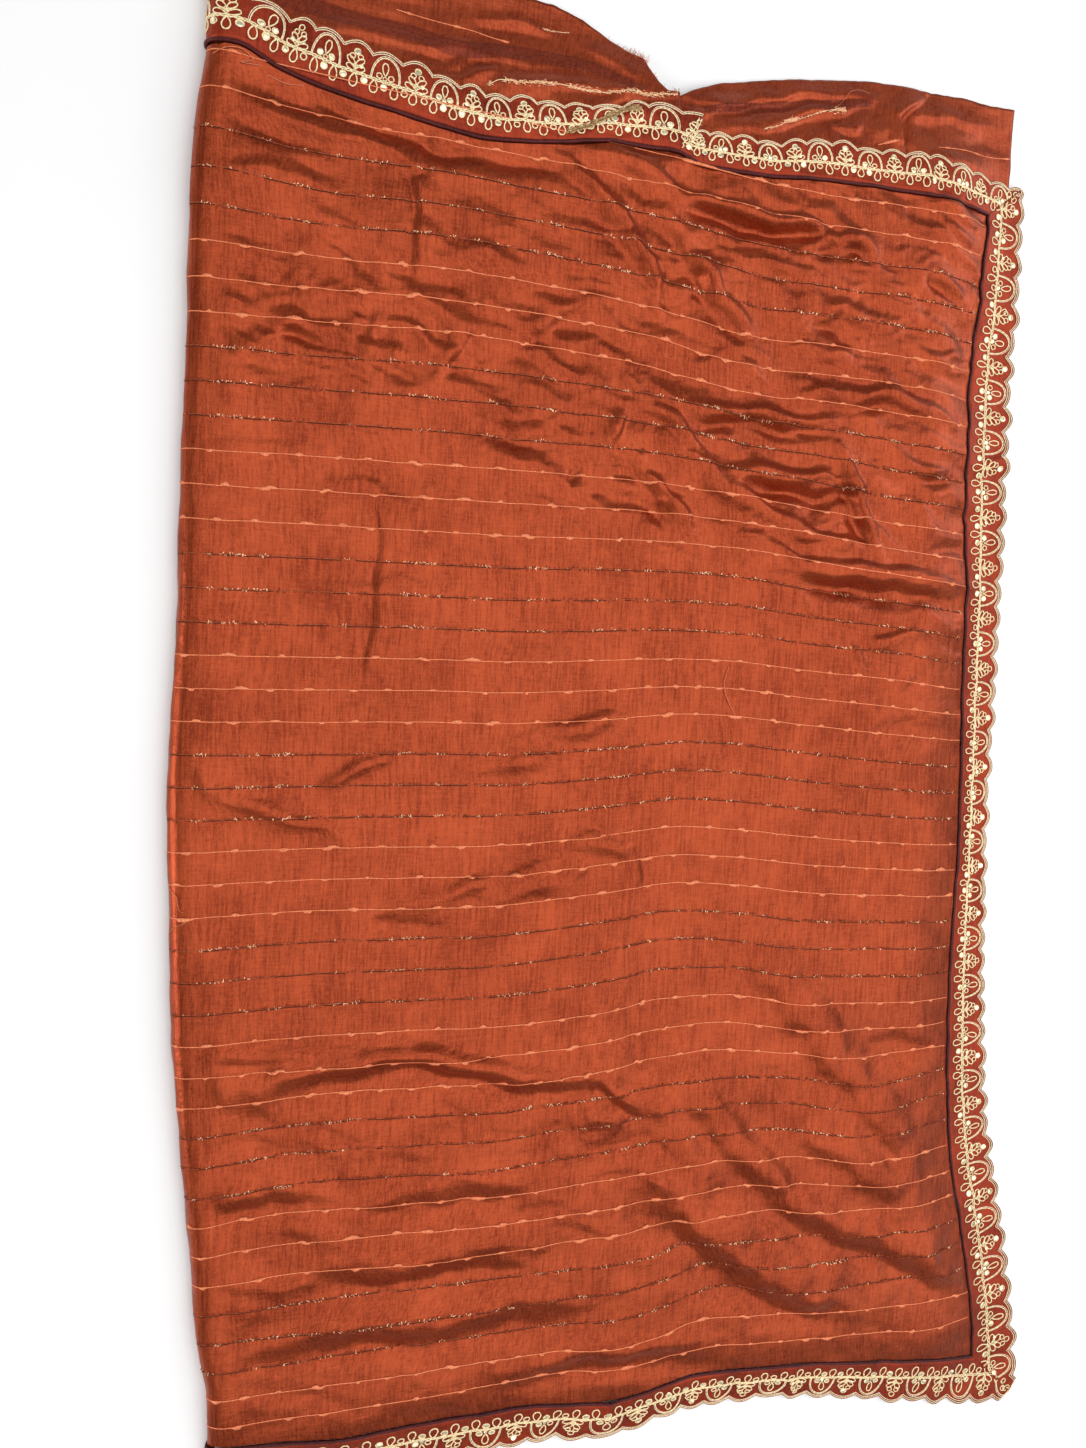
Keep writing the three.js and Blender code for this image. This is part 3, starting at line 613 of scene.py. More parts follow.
def satin(name, lit, deep, rough=0.43, metal=0.32, streak=1.0):
    """Satin-silk: long warp streaks up the packet, faint cross ribs, soft cloudy shade."""
    n = Nodes(name)
    streaks = n.noise(n.cloth_vector(1.0, 0.06), 560.0, 3.0, 0.6)
    fine = n.noise(n.cloth_vector(1.0, 0.22), 1500.0, 2.0, 0.6)
    ribs = n.noise(n.cloth_vector(0.08, 1.0), 950.0, 2.0, 0.5)
    cloud = n.noise(n.cloth_vector(1.0, 1.0), 26.0, 3.0, 0.55)
    fac = n.math("ADD", n.math("MULTIPLY", streaks, 1.15 * streak), n.math("MULTIPLY", fine, 0.75 * streak))
    fac = n.math("ADD", fac, n.math("MULTIPLY", ribs, 0.45))
    fac = n.math("ADD", fac, n.math("MULTIPLY", cloud, 0.75))
    fac = n.math("SUBTRACT", fac, (1.15 * streak + 0.75 * streak + 0.45 + 0.75) / 2 - 0.5)
    middle = tuple(0.45 * d + 0.55 * l for d, l in zip(deep, lit))
    colour = n.ramp(fac, [(0.22, deep), (0.50, middle), (0.80, lit)])
    n.link(colour, n.bsdf.inputs["Base Color"])
    n.bsdf.inputs["Metallic"].default_value = metal
    n.bsdf.inputs["Specular IOR Level"].default_value = 0.22
    n.bsdf.inputs["Sheen Weight"].default_value = 0.03
    n.bsdf.inputs["Sheen Roughness"].default_value = 0.45
    n.bsdf.inputs["Sheen Tint"].default_value = (1.0, 0.62, 0.42, 1.0)
    rough_out = n.math("ADD", n.math("MULTIPLY", streaks, 0.16), rough - 0.08)
    n.link(rough_out, n.bsdf.inputs["Roughness"])
    h = n.math("ADD", n.math("MULTIPLY", fine, 0.5), n.math("MULTIPLY", streaks, 0.5))
    h = n.math("ADD", h, n.math("MULTIPLY", ribs, 0.35))
    normal = n.bump(h, 0.7, 0.0003)
    # small soft dimples that are too fine for the mesh
    dimple = n.noise(n.cloth_vector(1.0, 1.5), 75.0, 3.0, 0.6)
    normal = n.bump(dimple, 0.5, 0.0011, normal)
    n.link(normal, n.bsdf.inputs["Normal"])
    return n.mat


def thread_material(name, light, dark, rough, metal, scale=1400.0, low=0.32, high=0.66):
    n = Nodes(name)
    tc = n.new("ShaderNodeTexCoord")
    f = n.noise(tc.outputs["Object"], scale, 2.0, 0.6)
    n.link(n.ramp(f, [(low, dark), (high, light)]), n.bsdf.inputs["Base Color"])
    n.bsdf.inputs["Metallic"].default_value = metal
    n.bsdf.inputs["Specular IOR Level"].default_value = 0.12
    n.bsdf.inputs["Roughness"].default_value = rough
    n.link(n.bump(f, 0.7, 0.0003), n.bsdf.inputs["Normal"])
    return n.mat


SATIN = satin("satin_rust", (0.40, 0.066, 0.0205), (0.195, 0.025, 0.0065), rough=0.34, metal=0.68)
UNDER = satin("satin_under", (0.42, 0.072, 0.024), (0.22, 0.029, 0.008), rough=0.36, metal=0.62)
STACK = satin("satin_stack", (0.38, 0.068, 0.024), (0.26, 0.038, 0.012), rough=0.45, metal=0.5)
RIBBON = satin("ribbon_rust", (0.36, 0.042, 0.013), (0.17, 0.016, 0.006), rough=0.42, metal=0.55, streak=0.8)
SLUB = thread_material("slub_thread", (0.92, 0.30, 0.145), (0.62, 0.15, 0.06), 0.42, 0.15, 700.0)
TINSEL_DARK = thread_material("tinsel_shade", (0.11, 0.020, 0.008), (0.045, 0.007, 0.003), 0.6, 0.0)
TINSEL_CORE = thread_material("tinsel_core", (0.64, 0.18, 0.080), (0.28, 0.055, 0.022), 0.45, 0.15, 600.0)
TINSEL = thread_material("tinsel_spark", (1.0, 0.72, 0.46), (0.95, 0.42, 0.20), 0.3, 0.3, 900.0)
TINSEL_BROWN = thread_material("tinsel_brown", (0.31, 0.060, 0.023), (0.12, 0.02, 0.008), 0.5, 0.1, 900.0)
GOLD = thread_material("gold_cord", (1.0, 0.85, 0.52), (0.60, 0.34, 0.12), 0.36, 0.15, 800.0, 0.26, 0.52)
PALE = thread_material("pale_cord", (1.0, 0.83, 0.60), (0.55, 0.28, 0.15), 0.38, 0.15, 800.0, 0.26, 0.54)
# darker gold cord for the crushed cords: painted shade in the fold of the top border
PAINTED_SHADE_GOLD = thread_material("shaded_cord", (0.62, 0.40, 0.19), (0.16, 0.075, 0.03), 0.42, 0.4, 500.0)
SEQUIN = thread_material("sequin", (0.99, 0.94, 0.74), (0.88, 0.76, 0.46), 0.16, 0.8, 420.0)
PLUM = satin("piping_plum", (0.105, 0.014, 0.014), (0.035, 0.004, 0.005), rough=0.42, metal=0.3)
EDGE = thread_material("edge_thread", (0.42, 0.09, 0.045), (0.22, 0.035, 0.018), 0.5, 0.1)
# dark discs for the pin holes: painted shade, the cloth under them is not opened
PIN_HOLE_SHADE = thread_material("pin_hole", (0.16, 0.028, 0.012), (0.08, 0.014, 0.007), 0.7, 0.0)
FRAY = thread_material("frayed_thread", (0.72, 0.24, 0.13), (0.45, 0.10, 0.045), 0.5, 0.1)

# ------------------------------------------------------------------ the end panel
rng = np.random.default_rng(5)
bb = np.concatenate([np.linspace(0, 0.62, 158, endpoint=False), np.linspace(0.62, 1, 190)])
ROWS, COLS, WRAP = len(bb), 266, 15
virtual = np.empty((ROWS, WRAP + COLS))
ys = np.empty_like(virtual)
x_start = fold_x(bb) + FOLD_DEPTH
width = seam_x(bb) - fold_x(bb)
turns = np.linspace(math.pi, 0, WRAP, endpoint=False) * R_FOLD
virtual[:, :WRAP] = x_start[:, None] - turns[None, :]
ys[:, :WRAP] = (low_y(0.0) * (1 - bb) + top_y(0.0) * bb)[:, None]
a0 = FOLD_DEPTH / width
aa = a0[:, None] + (1 - a0[:, None]) * np.linspace(0, 1, COLS)[None, :]
ys[:, WRAP:] = low_y(aa) * (1 - bb[:, None]) + top_y(aa) * bb[:, None]
virtual[:, WRAP:] = fold_x(bb)[:, None] * (1 - aa) + seam_x(bb)[:, None] * aa
pts, nrm = drape(virtual.ravel(), ys.ravel())
panel = mesh_object("pallu_cloth", pts * MM, grid_faces(ROWS, WRAP + COLS).tolist(), SATIN)
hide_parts("pallu_panel")

# ------------------------------------------------------------------ the woven cross threads
ORDER = "ss" + "tttsss" * 6 + "ttt" + "ss"
slub, core, shade, spark, brown = Heap(), Heap(), Heap(), Heap(), Heap()


def thread_path(k, step, from_turn=1.5):
    """Places of one woven thread, from round the fold to the end seam."""
    y0 = THREAD_TOP - THREAD_GAP * k
    x = np.arange(-405 - from_turn * R_FOLD - 20, 360, step)
    y = np.full(x.shape, y0)
    for _ in range(3):
        y = y0 + weft(x, y)
    a, b = shares(x, y)
    start = fold_x(b) + FOLD_DEPTH - from_turn * R_FOLD
    ok = (x > start) & (x < seam_x(b) - 1.2) & (y < top_y(a) - 1.0) & (y > low_y(a) + 1.0)
    return x[ok], y[ok]


def blades(heap, count, x, y, rise, long, lean, gaps):
    """Short bright ends that stand off a woven thread."""
    at = rng.uniform(x[0] + 1, x[-1] - 1, count)
    keep = noise2(at / 15, 0 * at + rise * 7 + x[3], 35) > gaps
    at = at[keep]
    if not len(at):
        return
    cy = np.interp(at, x, y) + rng.normal(0, 0.28, len(at))
    ang = rng.normal(lean, 0.55, len(at)) * np.where(rng.random(len(at)) < 0.5, 1, -1)
    length = rng.uniform(0.5, 1.0, len(at)) * long
    ex, ey = at + length * np.cos(ang), cy + length * np.sin(ang)
    h0, h1 = rng.uniform(0.12, 0.4, len(at)), rng.uniform(0.25, 0.9, len(at))
    p, nn = drape(np.stack([at, ex], 1).ravel(), np.stack([cy, ey], 1).ravel(), np.stack([h0, h1], 1).ravel())
    p, nn = p.reshape(-1, 2, 3), nn.reshape(-1, 2, 3)
    for i in range(len(at)):
        heap.tube(p[i], nn[i], rng.uniform(0.19, 0.38), 0.15, 3)


for k, kind in enumerate(ORDER):
    x, y = thread_path(k, 1.7 if kind == "s" else 2.6)
    if len(x) < 10:
        continue
    y = y + 0.30 * noise2(x / 19, k * 3.7 + 0 * x, 31) + 0.10 * noise2(x / 4, k * 1.7 + 0 * x, 36)
    if kind == "s":
        wide = 0.50 + 0.13 * noise2(x / 5, k * 1.3 + 0 * x, 32)
        high = np.full(x.shape, 0.30)
        at = x[0] + rng.uniform(3, 26)
        while at < x[-1] - 4:
            half = rng.uniform(1.3, 3.4)
            for part in range(1 if rng.random() < 0.66 else 2):
                lump = np.exp(-(np.abs(x - at - part * half * 1.5) / half) ** 6)
                big = rng.uniform(0.55, 1.15)
                wide = wide + lump * big * 1.35
                high = high + lump * 0.75 * big
                y = y + lump * rng.uniform(0.35, 0.95) * (1 if rng.random() < 0.5 else -1)
            at += rng.uniform(20, 42)
        p, n = drape(x, y, 0.14)
        slub.tube(p, n, wide, high, 4)
    else:
        p, n = drape(x, y + 0.12 * noise2(x / 6, k + 0 * x, 33), 0.16)
        core.tube(p, n, 0.26 + 0.12 * noise2(x / 5, k + 0 * x, 33), 0.26, 3)
        low = y - 0.62 + 0.20 * noise2(x / 8, k + 0 * x, 34)
        p, n = drape(x, low, 0.06)
        gate = noise2(x / 13, k * 2.9 + 0 * x, 37) > -0.35
        for run in np.split(np.arange(len(x)), np.flatnonzero(np.diff(gate.astype(int)) != 0) + 1):
            if len(run) > 2 and gate[run[0]]:
                shade.tube(p[run], n[run], 0.42, 0.16, 3)
        dense = rng.uniform(0.7, 1.2)
        blades(spark, int(430 * dense), x, y + 0.1, 0.3, 1.6, 1.1, 0.10)
        blades(brown, int(540 * dense), x, y - 0.25, 0.7, 2.1, 1.2, -0.75)

slub_ob = slub.object("slub_threads", SLUB, "satin")
core_ob = core.object("tinsel_threads", TINSEL_CORE, "satin")
shade_ob = shade.object("tinsel_shades", TINSEL_DARK, "satin")
spark_ob = spark.object("tinsel_tufts", TINSEL, "lace", smooth=False)
brown_ob = brown.object("tinsel_brown_tufts", TINSEL_BROWN, "lace", smooth=False)
print("threads", [len(o.data.polygons) for o in (slub_ob, core_ob, shade_ob, spark_ob, brown_ob)])


# ------------------------------------------------------------------ the laced border
def scallop(s):
    """How far the rim stands out, mm: one lobe over the arch, one that is a little fuller over the flower."""
    return 6.2 * (np.abs(np.sin(np.pi * s / 22.5)) ** 0.85 - 0.66) + 0.8 * np.cos(2 * np.pi * (s - 33.75) / 45.0)


class Border:
    """A seam with its piping, ribbon and embroidery. s runs along it, w outwards from the piping, 0 to 40."""

    def __init__(self, path, wide, start_corner=None, end_corner=None, phase=0.0):
        path = np.asarray(path, float)
        step = np.hypot(*np.diff(path, axis=0).T)
        s = np.concatenate([[0], np.cumsum(step)])
        self.length = s[-1]
        even = np.arange(0, self.length, 2.0)
        self.s = np.append(even, self.length)
        self.p = np.stack([np.interp(self.s, s, path[:, k]) for k in (0, 1)], -1)
        t = np.gradient(self.p, axis=0)
        kernel = np.hanning(23)
        kernel /= kernel.sum()
        pad = [np.pad(t[:, k], 11, mode="edge") for k in (0, 1)]
        t = np.stack([np.convolve(c, kernel, mode="valid") for c in pad], -1)
        self.t = t / np.linalg.norm(t, axis=1)[:, None]
        self.wide = np.interp(self.s, s, wide)
        self.phase = phase
        self.k0 = self.k1 = 0.0
        self.corners = []
        self.m = self.s.copy()
        if start_corner is not None:
            d = np.asarray(start_corner, float) - self.p[0]
            self.k0 = float(d @ self.t[0]) / float(d @ np.array([-self.t[0][1], self.t[0][0]]))
            self.corners.append((self.p[0] + 0.5 * d, 0.46 * math.hypot(*d), -self.t[0], np.array([-self.t[0][1], self.t[0][0]])))
        if end_corner is not None:
            d = np.asarray(end_corner, float) - self.p[-1]
            self.k1 = float(d @ self.t[-1]) / float(d @ np.array([-self.t[-1][1], self.t[-1][0]]))
            self.corners.append((self.p[-1] + 0.5 * d, 0.46 * math.hypot(*d), self.t[-1], np.array([-self.t[-1][1], self.t[-1][0]])))

    def pace(self, places, repeats):
        """Sets how long one repeat of the lace is along the seam, mm, at some places on it."""
        each = np.interp(self.s, places, repeats) / 45.0
        self.m = np.concatenate([[0], np.cumsum(np.diff(self.s) * 2 / (each[1:] + each[:-1]))])

    def motif(self, s):
        """Length along the lace, for a length along the seam."""
        s = np.asarray(s, float)
        first, last = self.m[1] / self.s[1], (self.m[-1] - self.m[-2]) / (self.s[-1] - self.s[-2])
        return np.interp(s, self.s, self.m) + np.minimum(s, 0) * first + np.maximum(s - self.length, 0) * last

    def seam(self, m):
        """Length along the seam, for a length along the lace."""
        m = np.asarray(m, float)
        first, last = self.s[1] / self.m[1], (self.s[-1] - self.s[-2]) / (self.m[-1] - self.m[-2])
        return np.interp(m, self.m, self.s) + np.minimum(m, 0) * first + np.maximum(m - self.m[-1], 0) * last

    def out(self, s, w):
        """Distance out from the seam, mm, for w between 0 and 40."""
        wide = np.interp(s, self.s, self.wide)
        return 3.6 + np.asarray(w, float) / 40.0 * (wide - 3.6)

    def settle(self, s, w):
        """Distance out for (s, w), with the scallops smoothed and the tip rounded where the border is mitred."""
        rough = self.out(np.clip(s, 0, self.length), w)
        near = 0.0 * s
        if self.k0:
            near = np.maximum(near, 1 - np.clip((s - self.k0 * rough) / 13, 0, 1))
        if self.k1:
            near = np.maximum(near, 1 - np.clip((self.length + self.k1 * rough - s) / 13, 0, 1))
        q = w / 40.0
        w = w - q ** 2 * 40 / 44 * scallop(self.motif(s) + self.phase) * near
        return self.out(np.clip(s, 0, self.length), w)

    def plan(self, s, out):
        sc = np.clip(s, 0, self.length)
        x, y = np.interp(sc, self.s, self.p[:, 0]), np.interp(sc, self.s, self.p[:, 1])
        tx, ty = np.interp(sc, self.s, self.t[:, 0]), np.interp(sc, self.s, self.t[:, 1])
        l = np.hypot(tx, ty)
        tx, ty = tx / l, ty / l
        x, y = x + tx * (s - sc) - ty * out, y + ty * (s - sc) + tx * out
        for middle, reach, way, side in self.corners:
            vx, vy = x - middle[0], y - middle[1]
            r = np.hypot(vx, vy)
            inside = (vx * way[0] + vy * way[1] > 0) & (vx * side[0] + vy * side[1] > 0) & (r > reach)
            k = np.where(inside, (reach + 0.12 * (r - reach)) / np.maximum(r, 1e-6), 1.0)
            x, y = middle[0] + vx * k, middle[1] + vy * k
        return x, y

    def lift(self, s, out, x, y):
        q = np.clip(out / 44.0, 0, 1.2)
        u = s + self.phase
        wave = q * (0.75 * np.sin(2 * np.pi * u / 41.0 + 0.6) + 1.0 * noise2(u / 33, q * 1.5, 41) + 0.5 * noise2(u / 13, q * 3, 42))
        wave += 0.5 * noise2(u / 17, q * 2.2, 43) + 0.55 * np.sin(np.pi * np.clip(q, 0, 1)) * noise2(u / 21, 0 * u, 44)
        if self.k0:
            wave = wave * ease((s - self.k0 * out) / 24)
        if self.k1:
            wave = wave * ease((self.length + self.k1 * out - s) / 24)
        extra = 0.0
        for rise, steep, soft, points in LACE_FOLDS:
            d, side, share = along(points, x, y)
            extra = extra + rise * np.sin(np.pi * np.clip(share * 0.9 + 0.05, 0, 1)) ** 0.6 * np.exp(-(d / np.where(side > 0, soft, steep)) ** 2)
        return wave + extra

    def surface(self, s, out, above=0.0):
        x, y = self.plan(s, out)
        lift = self.lift(s, out, x, y)
        p, n = drape(x, y, 0.0)
        low = 0.55 - p[..., 2]
        p = p + n * np.maximum(lift, np.where(n[..., 2] > 0.8, low, -9))[..., None]
        # the normal of the waved ribbon, by small steps
        e = 1.2
        pa, _ = self._raw(s + e, out)
        pb, _ = self._raw(s - e, out)
        pc, _ = self._raw(s, out + e)
        pd, _ = self._raw(s, out - e)
        m = np.cross(pa - pb, pc - pd)
        m /= np.maximum(np.linalg.norm(m, axis=-1), 1e-9)[..., None]
        return p + m * np.asarray(above)[..., None] if np.ndim(above) else p + m * above, m

    def _raw(self, s, out):
        x, y = self.plan(s, out)
        p, n = drape(x, y, 0.0)
        lift = self.lift(s, out, x, y)
        low = 0.55 - p[..., 2]
        return p + n * np.maximum(lift, np.where(n[..., 2] > 0.8, low, -9))[..., None], n


# Folds of the border itself, where it is crushed and where it steps: rise, reach right, reach left, points
LACE_FOLDS = [
    (3.6, 3.5, 9.0, [(-58, 536), (-78, 522), (-96, 511), (-120, 500)]),
    (-2.6, 6.0, 6.0, [(-62, 524), (-84, 511), (-104, 503)]),
    (2.4, 3.0, 6.0, [(-96, 532), (-112, 520), (-124, 510)]),
    (1.8, 3.0, 6.0, [(-150, 528), (-158, 512), (-160, 498)]),
    (2.0, 3.0, 7.0, [(196, 544), (204, 526), (202, 510)]),
    (1.8, 3.0, 6.0, [(318, 300), (300, 296), (288, 290)]),
    (-1.8, 5.0, 5.0, [(322, 286), (300, 284), (288, 280)]),
    (1.8, 4.0, 7.0, [(-30, -520), (-34, -545), (-30, -566)]),
    (1.8, 4.0, 7.0, [(150, -530), (144, -552), (150, -574)]),
    (2.0, 4.0, 7.0, [(300, -86), (318, -92), (334, -90)]),
    (2.0, 4.0, 7.0, [(318, -408), (344, -400), (366, -404)]),
]

corner_top, corner_low = (316.0, 541.0), (403.5, -609.0)
b_fine = np.linspace(1, 0, 700)
x, y = plan(np.ones_like(b_fine), b_fine)
end_wide = (rim_x(b_fine) - seam_x(b_fine)) * np.interp(b_fine, [0, 0.25, 0.6, 1], [0.985, 0.99, 1.0, 1.0])
BORDERS = {"end": Border(np.stack([x, y], -1), end_wide, corner_top, corner_low, 0.0)}
a_fine = np.linspace(1, 0, 600)
x, y = plan(a_fine, np.zeros_like(a_fine))
low_wide = low_y(a_fine) - lowrim_y(a_fine)
keep = x > fold_x(0.0) + FOLD_DEPTH
tail = np.arange(1, 12) * 2.6
x = np.concatenate([x[keep], x[keep][-1] - tail])
y = np.concatenate([y[keep], np.full(tail.shape, y[keep][-1])])
low_wide = np.concatenate([low_wide[keep], np.full(tail.shape, low_wide[keep][-1])])
BORDERS["bottom"] = Border(np.stack([x, y], -1), low_wide, corner_low, None, 11.0)
a_fine = np.linspace(0, 1, 600)
x, y = plan(a_fine, np.ones_like(a_fine))
keep = (x > fold_x(1.0) + FOLD_DEPTH) & (a_fine < PLEAT + 0.004)
left_wide = toprim_left(a_fine[keep]) - y[keep]
x1 = np.concatenate([x[keep][0] - tail[::-1], x[keep]])
y1 = np.concatenate([np.full(tail.shape, y[keep][0]), y[keep]])
left_wide = np.concatenate([np.full(tail.shape, left_wide[0]), left_wide])
BORDERS["top_left"] = Border(np.stack([x1, y1], -1), left_wide, None, None, 5.0)
keep = a_fine > PLEAT - 0.012
BORDERS["top_right"] = Border(np.stack([x[keep], y[keep]], -1), toprim_right(a_fine[keep]) - y[keep], None, corner_top, 20.0)
BORDERS["end"].pace([0, 640, 1072], [46, 46, 52])
BORDERS["bottom"].pace([0, 732], [55, 54])
BORDERS["top_right"].pace([0, 305], [47, 47])


def shell(name, top, under, rows, cols, material):
    """A thin closed shell between two matching nets."""
    n = rows * cols
    f = grid_faces(rows, cols)
    faces = f.tolist() + (f[:, ::-1] + n).tolist()
    rim = ([(0, j) for j in range(cols)] + [(i, cols - 1) for i in range(1, rows)]
           + [(rows - 1, j) for j in range(cols - 2, -1, -1)] + [(i, 0) for i in range(rows - 2, 0, -1)])
    ids = [i * cols + j for i, j in rim]
    for p, q in zip(ids, ids[1:] + ids[:1]):
        faces.append([q, p, p + n, q + n])
    return mesh_object(name, np.concatenate([top, under]) * MM, faces, material)


def teardrop(long, wide, n=15):
    """A loop of cord that leaves its root and comes back to it: across, along."""
    f = np.linspace(0, 2 * math.pi, n)
    return np.stack([wide / 2 * np.sin(f) * np.sin(f / 2) ** 0.6 * 1.15, long * (1 - np.cos(f)) / 2], -1)


def placed(shape, s, w, angle=0.0):
    c, q = math.cos(angle), math.sin(angle)
    return np.stack([s + shape[:, 0] * c + shape[:, 1] * q, w - shape[:, 0] * q + shape[:, 1] * c], -1)


def ring(s, w, r, n=11):
    f = np.linspace(0, 2 * math.pi, n)
    return np.stack([s + r * np.cos(f), w + r * np.sin(f)], -1)


def embroider(border, seed):
    """Cords and sequins of one border, in (s, w)."""
    r = np.random.default_rng(seed)
    gold, pale, dots = [], [], []
    first = -math.ceil((border.phase + 50) / REPEAT)
    count = int((border.m[-1] + 160) / REPEAT) + 2
    for m in range(first, first + count):
        o = m * REPEAT - border.phase
        j = lambda k=1.0: r.normal(0, 0.24 * k)
        # base line of two cords
        s = np.arange(0, REPEAT + 0.6, 1.25)
        u = o + s
        gold.append((np.stack([u, 15.9 + 0.3 * np.sin(s * 1.7)], -1), 0.66, 0.48))
        gold.append((np.stack([u, 17.2 + 0.3 * np.sin(s * 1.7 + 1.6)], -1), 0.52, 0.42))
        # loops that hang inwards, long and round by turns
        for i in range(6):
            c = o + 3.75 + 7.5 * i + j()
            if i % 2 == 0:
                gold.append((placed(teardrop(10.2 + j(2), 5.7 + j()), c, 15.6, math.pi + j(0.35)), 0.62, 0.48))
            else:
                gold.append((ring(c, 12.5 + j(), 2.35), 0.60, 0.46))
                if r.random() < 0.6:
                    dots.append((c, 12.4, 2.5))
        # the arch, its motif
        f = np.linspace(0, math.pi, 24)
        gold.append((np.stack([o + 11.25 - 10.2 * np.cos(f), 16.8 + 18.6 * np.sin(f) ** 0.85], -1), 0.56, 0.46))
        pale.append((np.stack([o + 11.25 - 11.1 * np.cos(f), 16.9 + 19.9 * np.sin(f) ** 0.85], -1), 0.36, 0.34))
        c = o + 11.25 + j()
        gold.append((placed(teardrop(10.5 + j(2), 4.6), c, 21.4, j(0.35)), 0.60, 0.48))
        for side in (-1, 1):
            gold.append((ring(c + side * 4.4, 20.6 + j(), 2.1), 0.56, 0.44))
            if r.random() < 0.7:
                dots.append((c + side * 4.5, 20.6, 2.3))
        if r.random() < 0.6:
            dots.append((c, 18.9, 1.9))
        else:
            gold.append((ring(c, 19.0, 1.5, 9), 0.46, 0.40))
        # the flower between two arches
        c = o + 33.75 + j()
        for side in (-1, 1):
            gold.append((placed(teardrop(8.6 + j(2), 4.4), c, 17.6, side * (1.12 + j(0.3))), 0.58, 0.46))
            gold.append((placed(teardrop(8.4 + j(2), 4.2), c, 21.4, side * (0.74 + j(0.3))), 0.56, 0.46))
            gold.append((ring(c + side * 3.0, 29.0 + j(), 2.0, 10), 0.52, 0.42))
            if r.random() < 0.4:
                dots.append((c + side * 4.4, 22.6, 1.8))
        gold.append((ring(c, 21.6, 1.5, 9), 0.46, 0.42))
        gold.append((ring(c, 33.2 + j(), 2.3), 0.52, 0.42))
        if r.random() < 0.8:
            dots.append((c, 33.2 + j(), 2.45))
        # cords along the scallops
        s = np.arange(0, REPEAT + 0.6, 1.0)
        edge = 40 * (1 + scallop(s) / 44.0)
        gold.append((np.stack([o + s, edge - 1.0], -1), 0.40, 0.40))
        pale.append((np.stack([o + s, edge - 2.7], -1), 0.42, 0.38))
    # a small flower on the mitre, half of it on each of the two borders
    for slope, base, wide_c in ((border.k0, 0.0, border.wide[0]), (border.k1, border.length, border.wide[-1])):
        if not slope:
            continue
        size = math.hypot(slope, 1.0)
        for part, off, radius in ((0.55, 0.0, 2.2), (0.70, 3.0, 2.4), (0.70, -3.0, 2.4), (0.84, 0.0, 2.5), (0.69, 0.0, 1.3)):
            f = np.linspace(0, 2 * math.pi, 15)
            s = base + slope * wide_c * part + off / size + radius * np.cos(f)
            far = wide_c * part - off * slope / size + radius * np.sin(f)
            gold.append((np.stack([border.motif(s), (far - 3.6) / (wide_c - 3.6) * 40.0], -1), 0.54, 0.44))
    gold, pale = [[(np.stack([border.seam(l[:, 0]), l[:, 1]], -1), wide, high) for l, wide, high in group] for group in (gold, pale)]
    return gold, pale, [(float(border.seam(m)), w, size) for m, w, size in dots]


def stitch(border, lines, heap, step_radius=True):
    """Lays (s, w) lines on the border as cords, cut off at its mitres."""
    flat = np.concatenate([l for l, _, _ in lines])
    s, w = flat[:, 0], flat[:, 1]
    out = border.settle(s, w)
    lo, hi = border.k0 * out, border.length + border.k1 * out
    good = (s > lo + 0.2) & (s < hi - 0.2)
    p, n = border.surface(s, out, 0.36)
    at = 0
    for l, wide, high in lines:
        k = np.arange(at, at + len(l))
        at += len(l)
        ok = good[k]
        runs = np.split(k, np.flatnonzero(np.diff(ok.astype(int)) != 0) + 1)
        for run in runs:
            if len(run) < 3 or not good[run[0]]:
                continue
            bead = 1 + 0.16 * np.where(np.arange(len(run)) % 2 == 0, 1, -1)
            heap.tube(p[run], n[run], wide * bead, high * bead, 4)


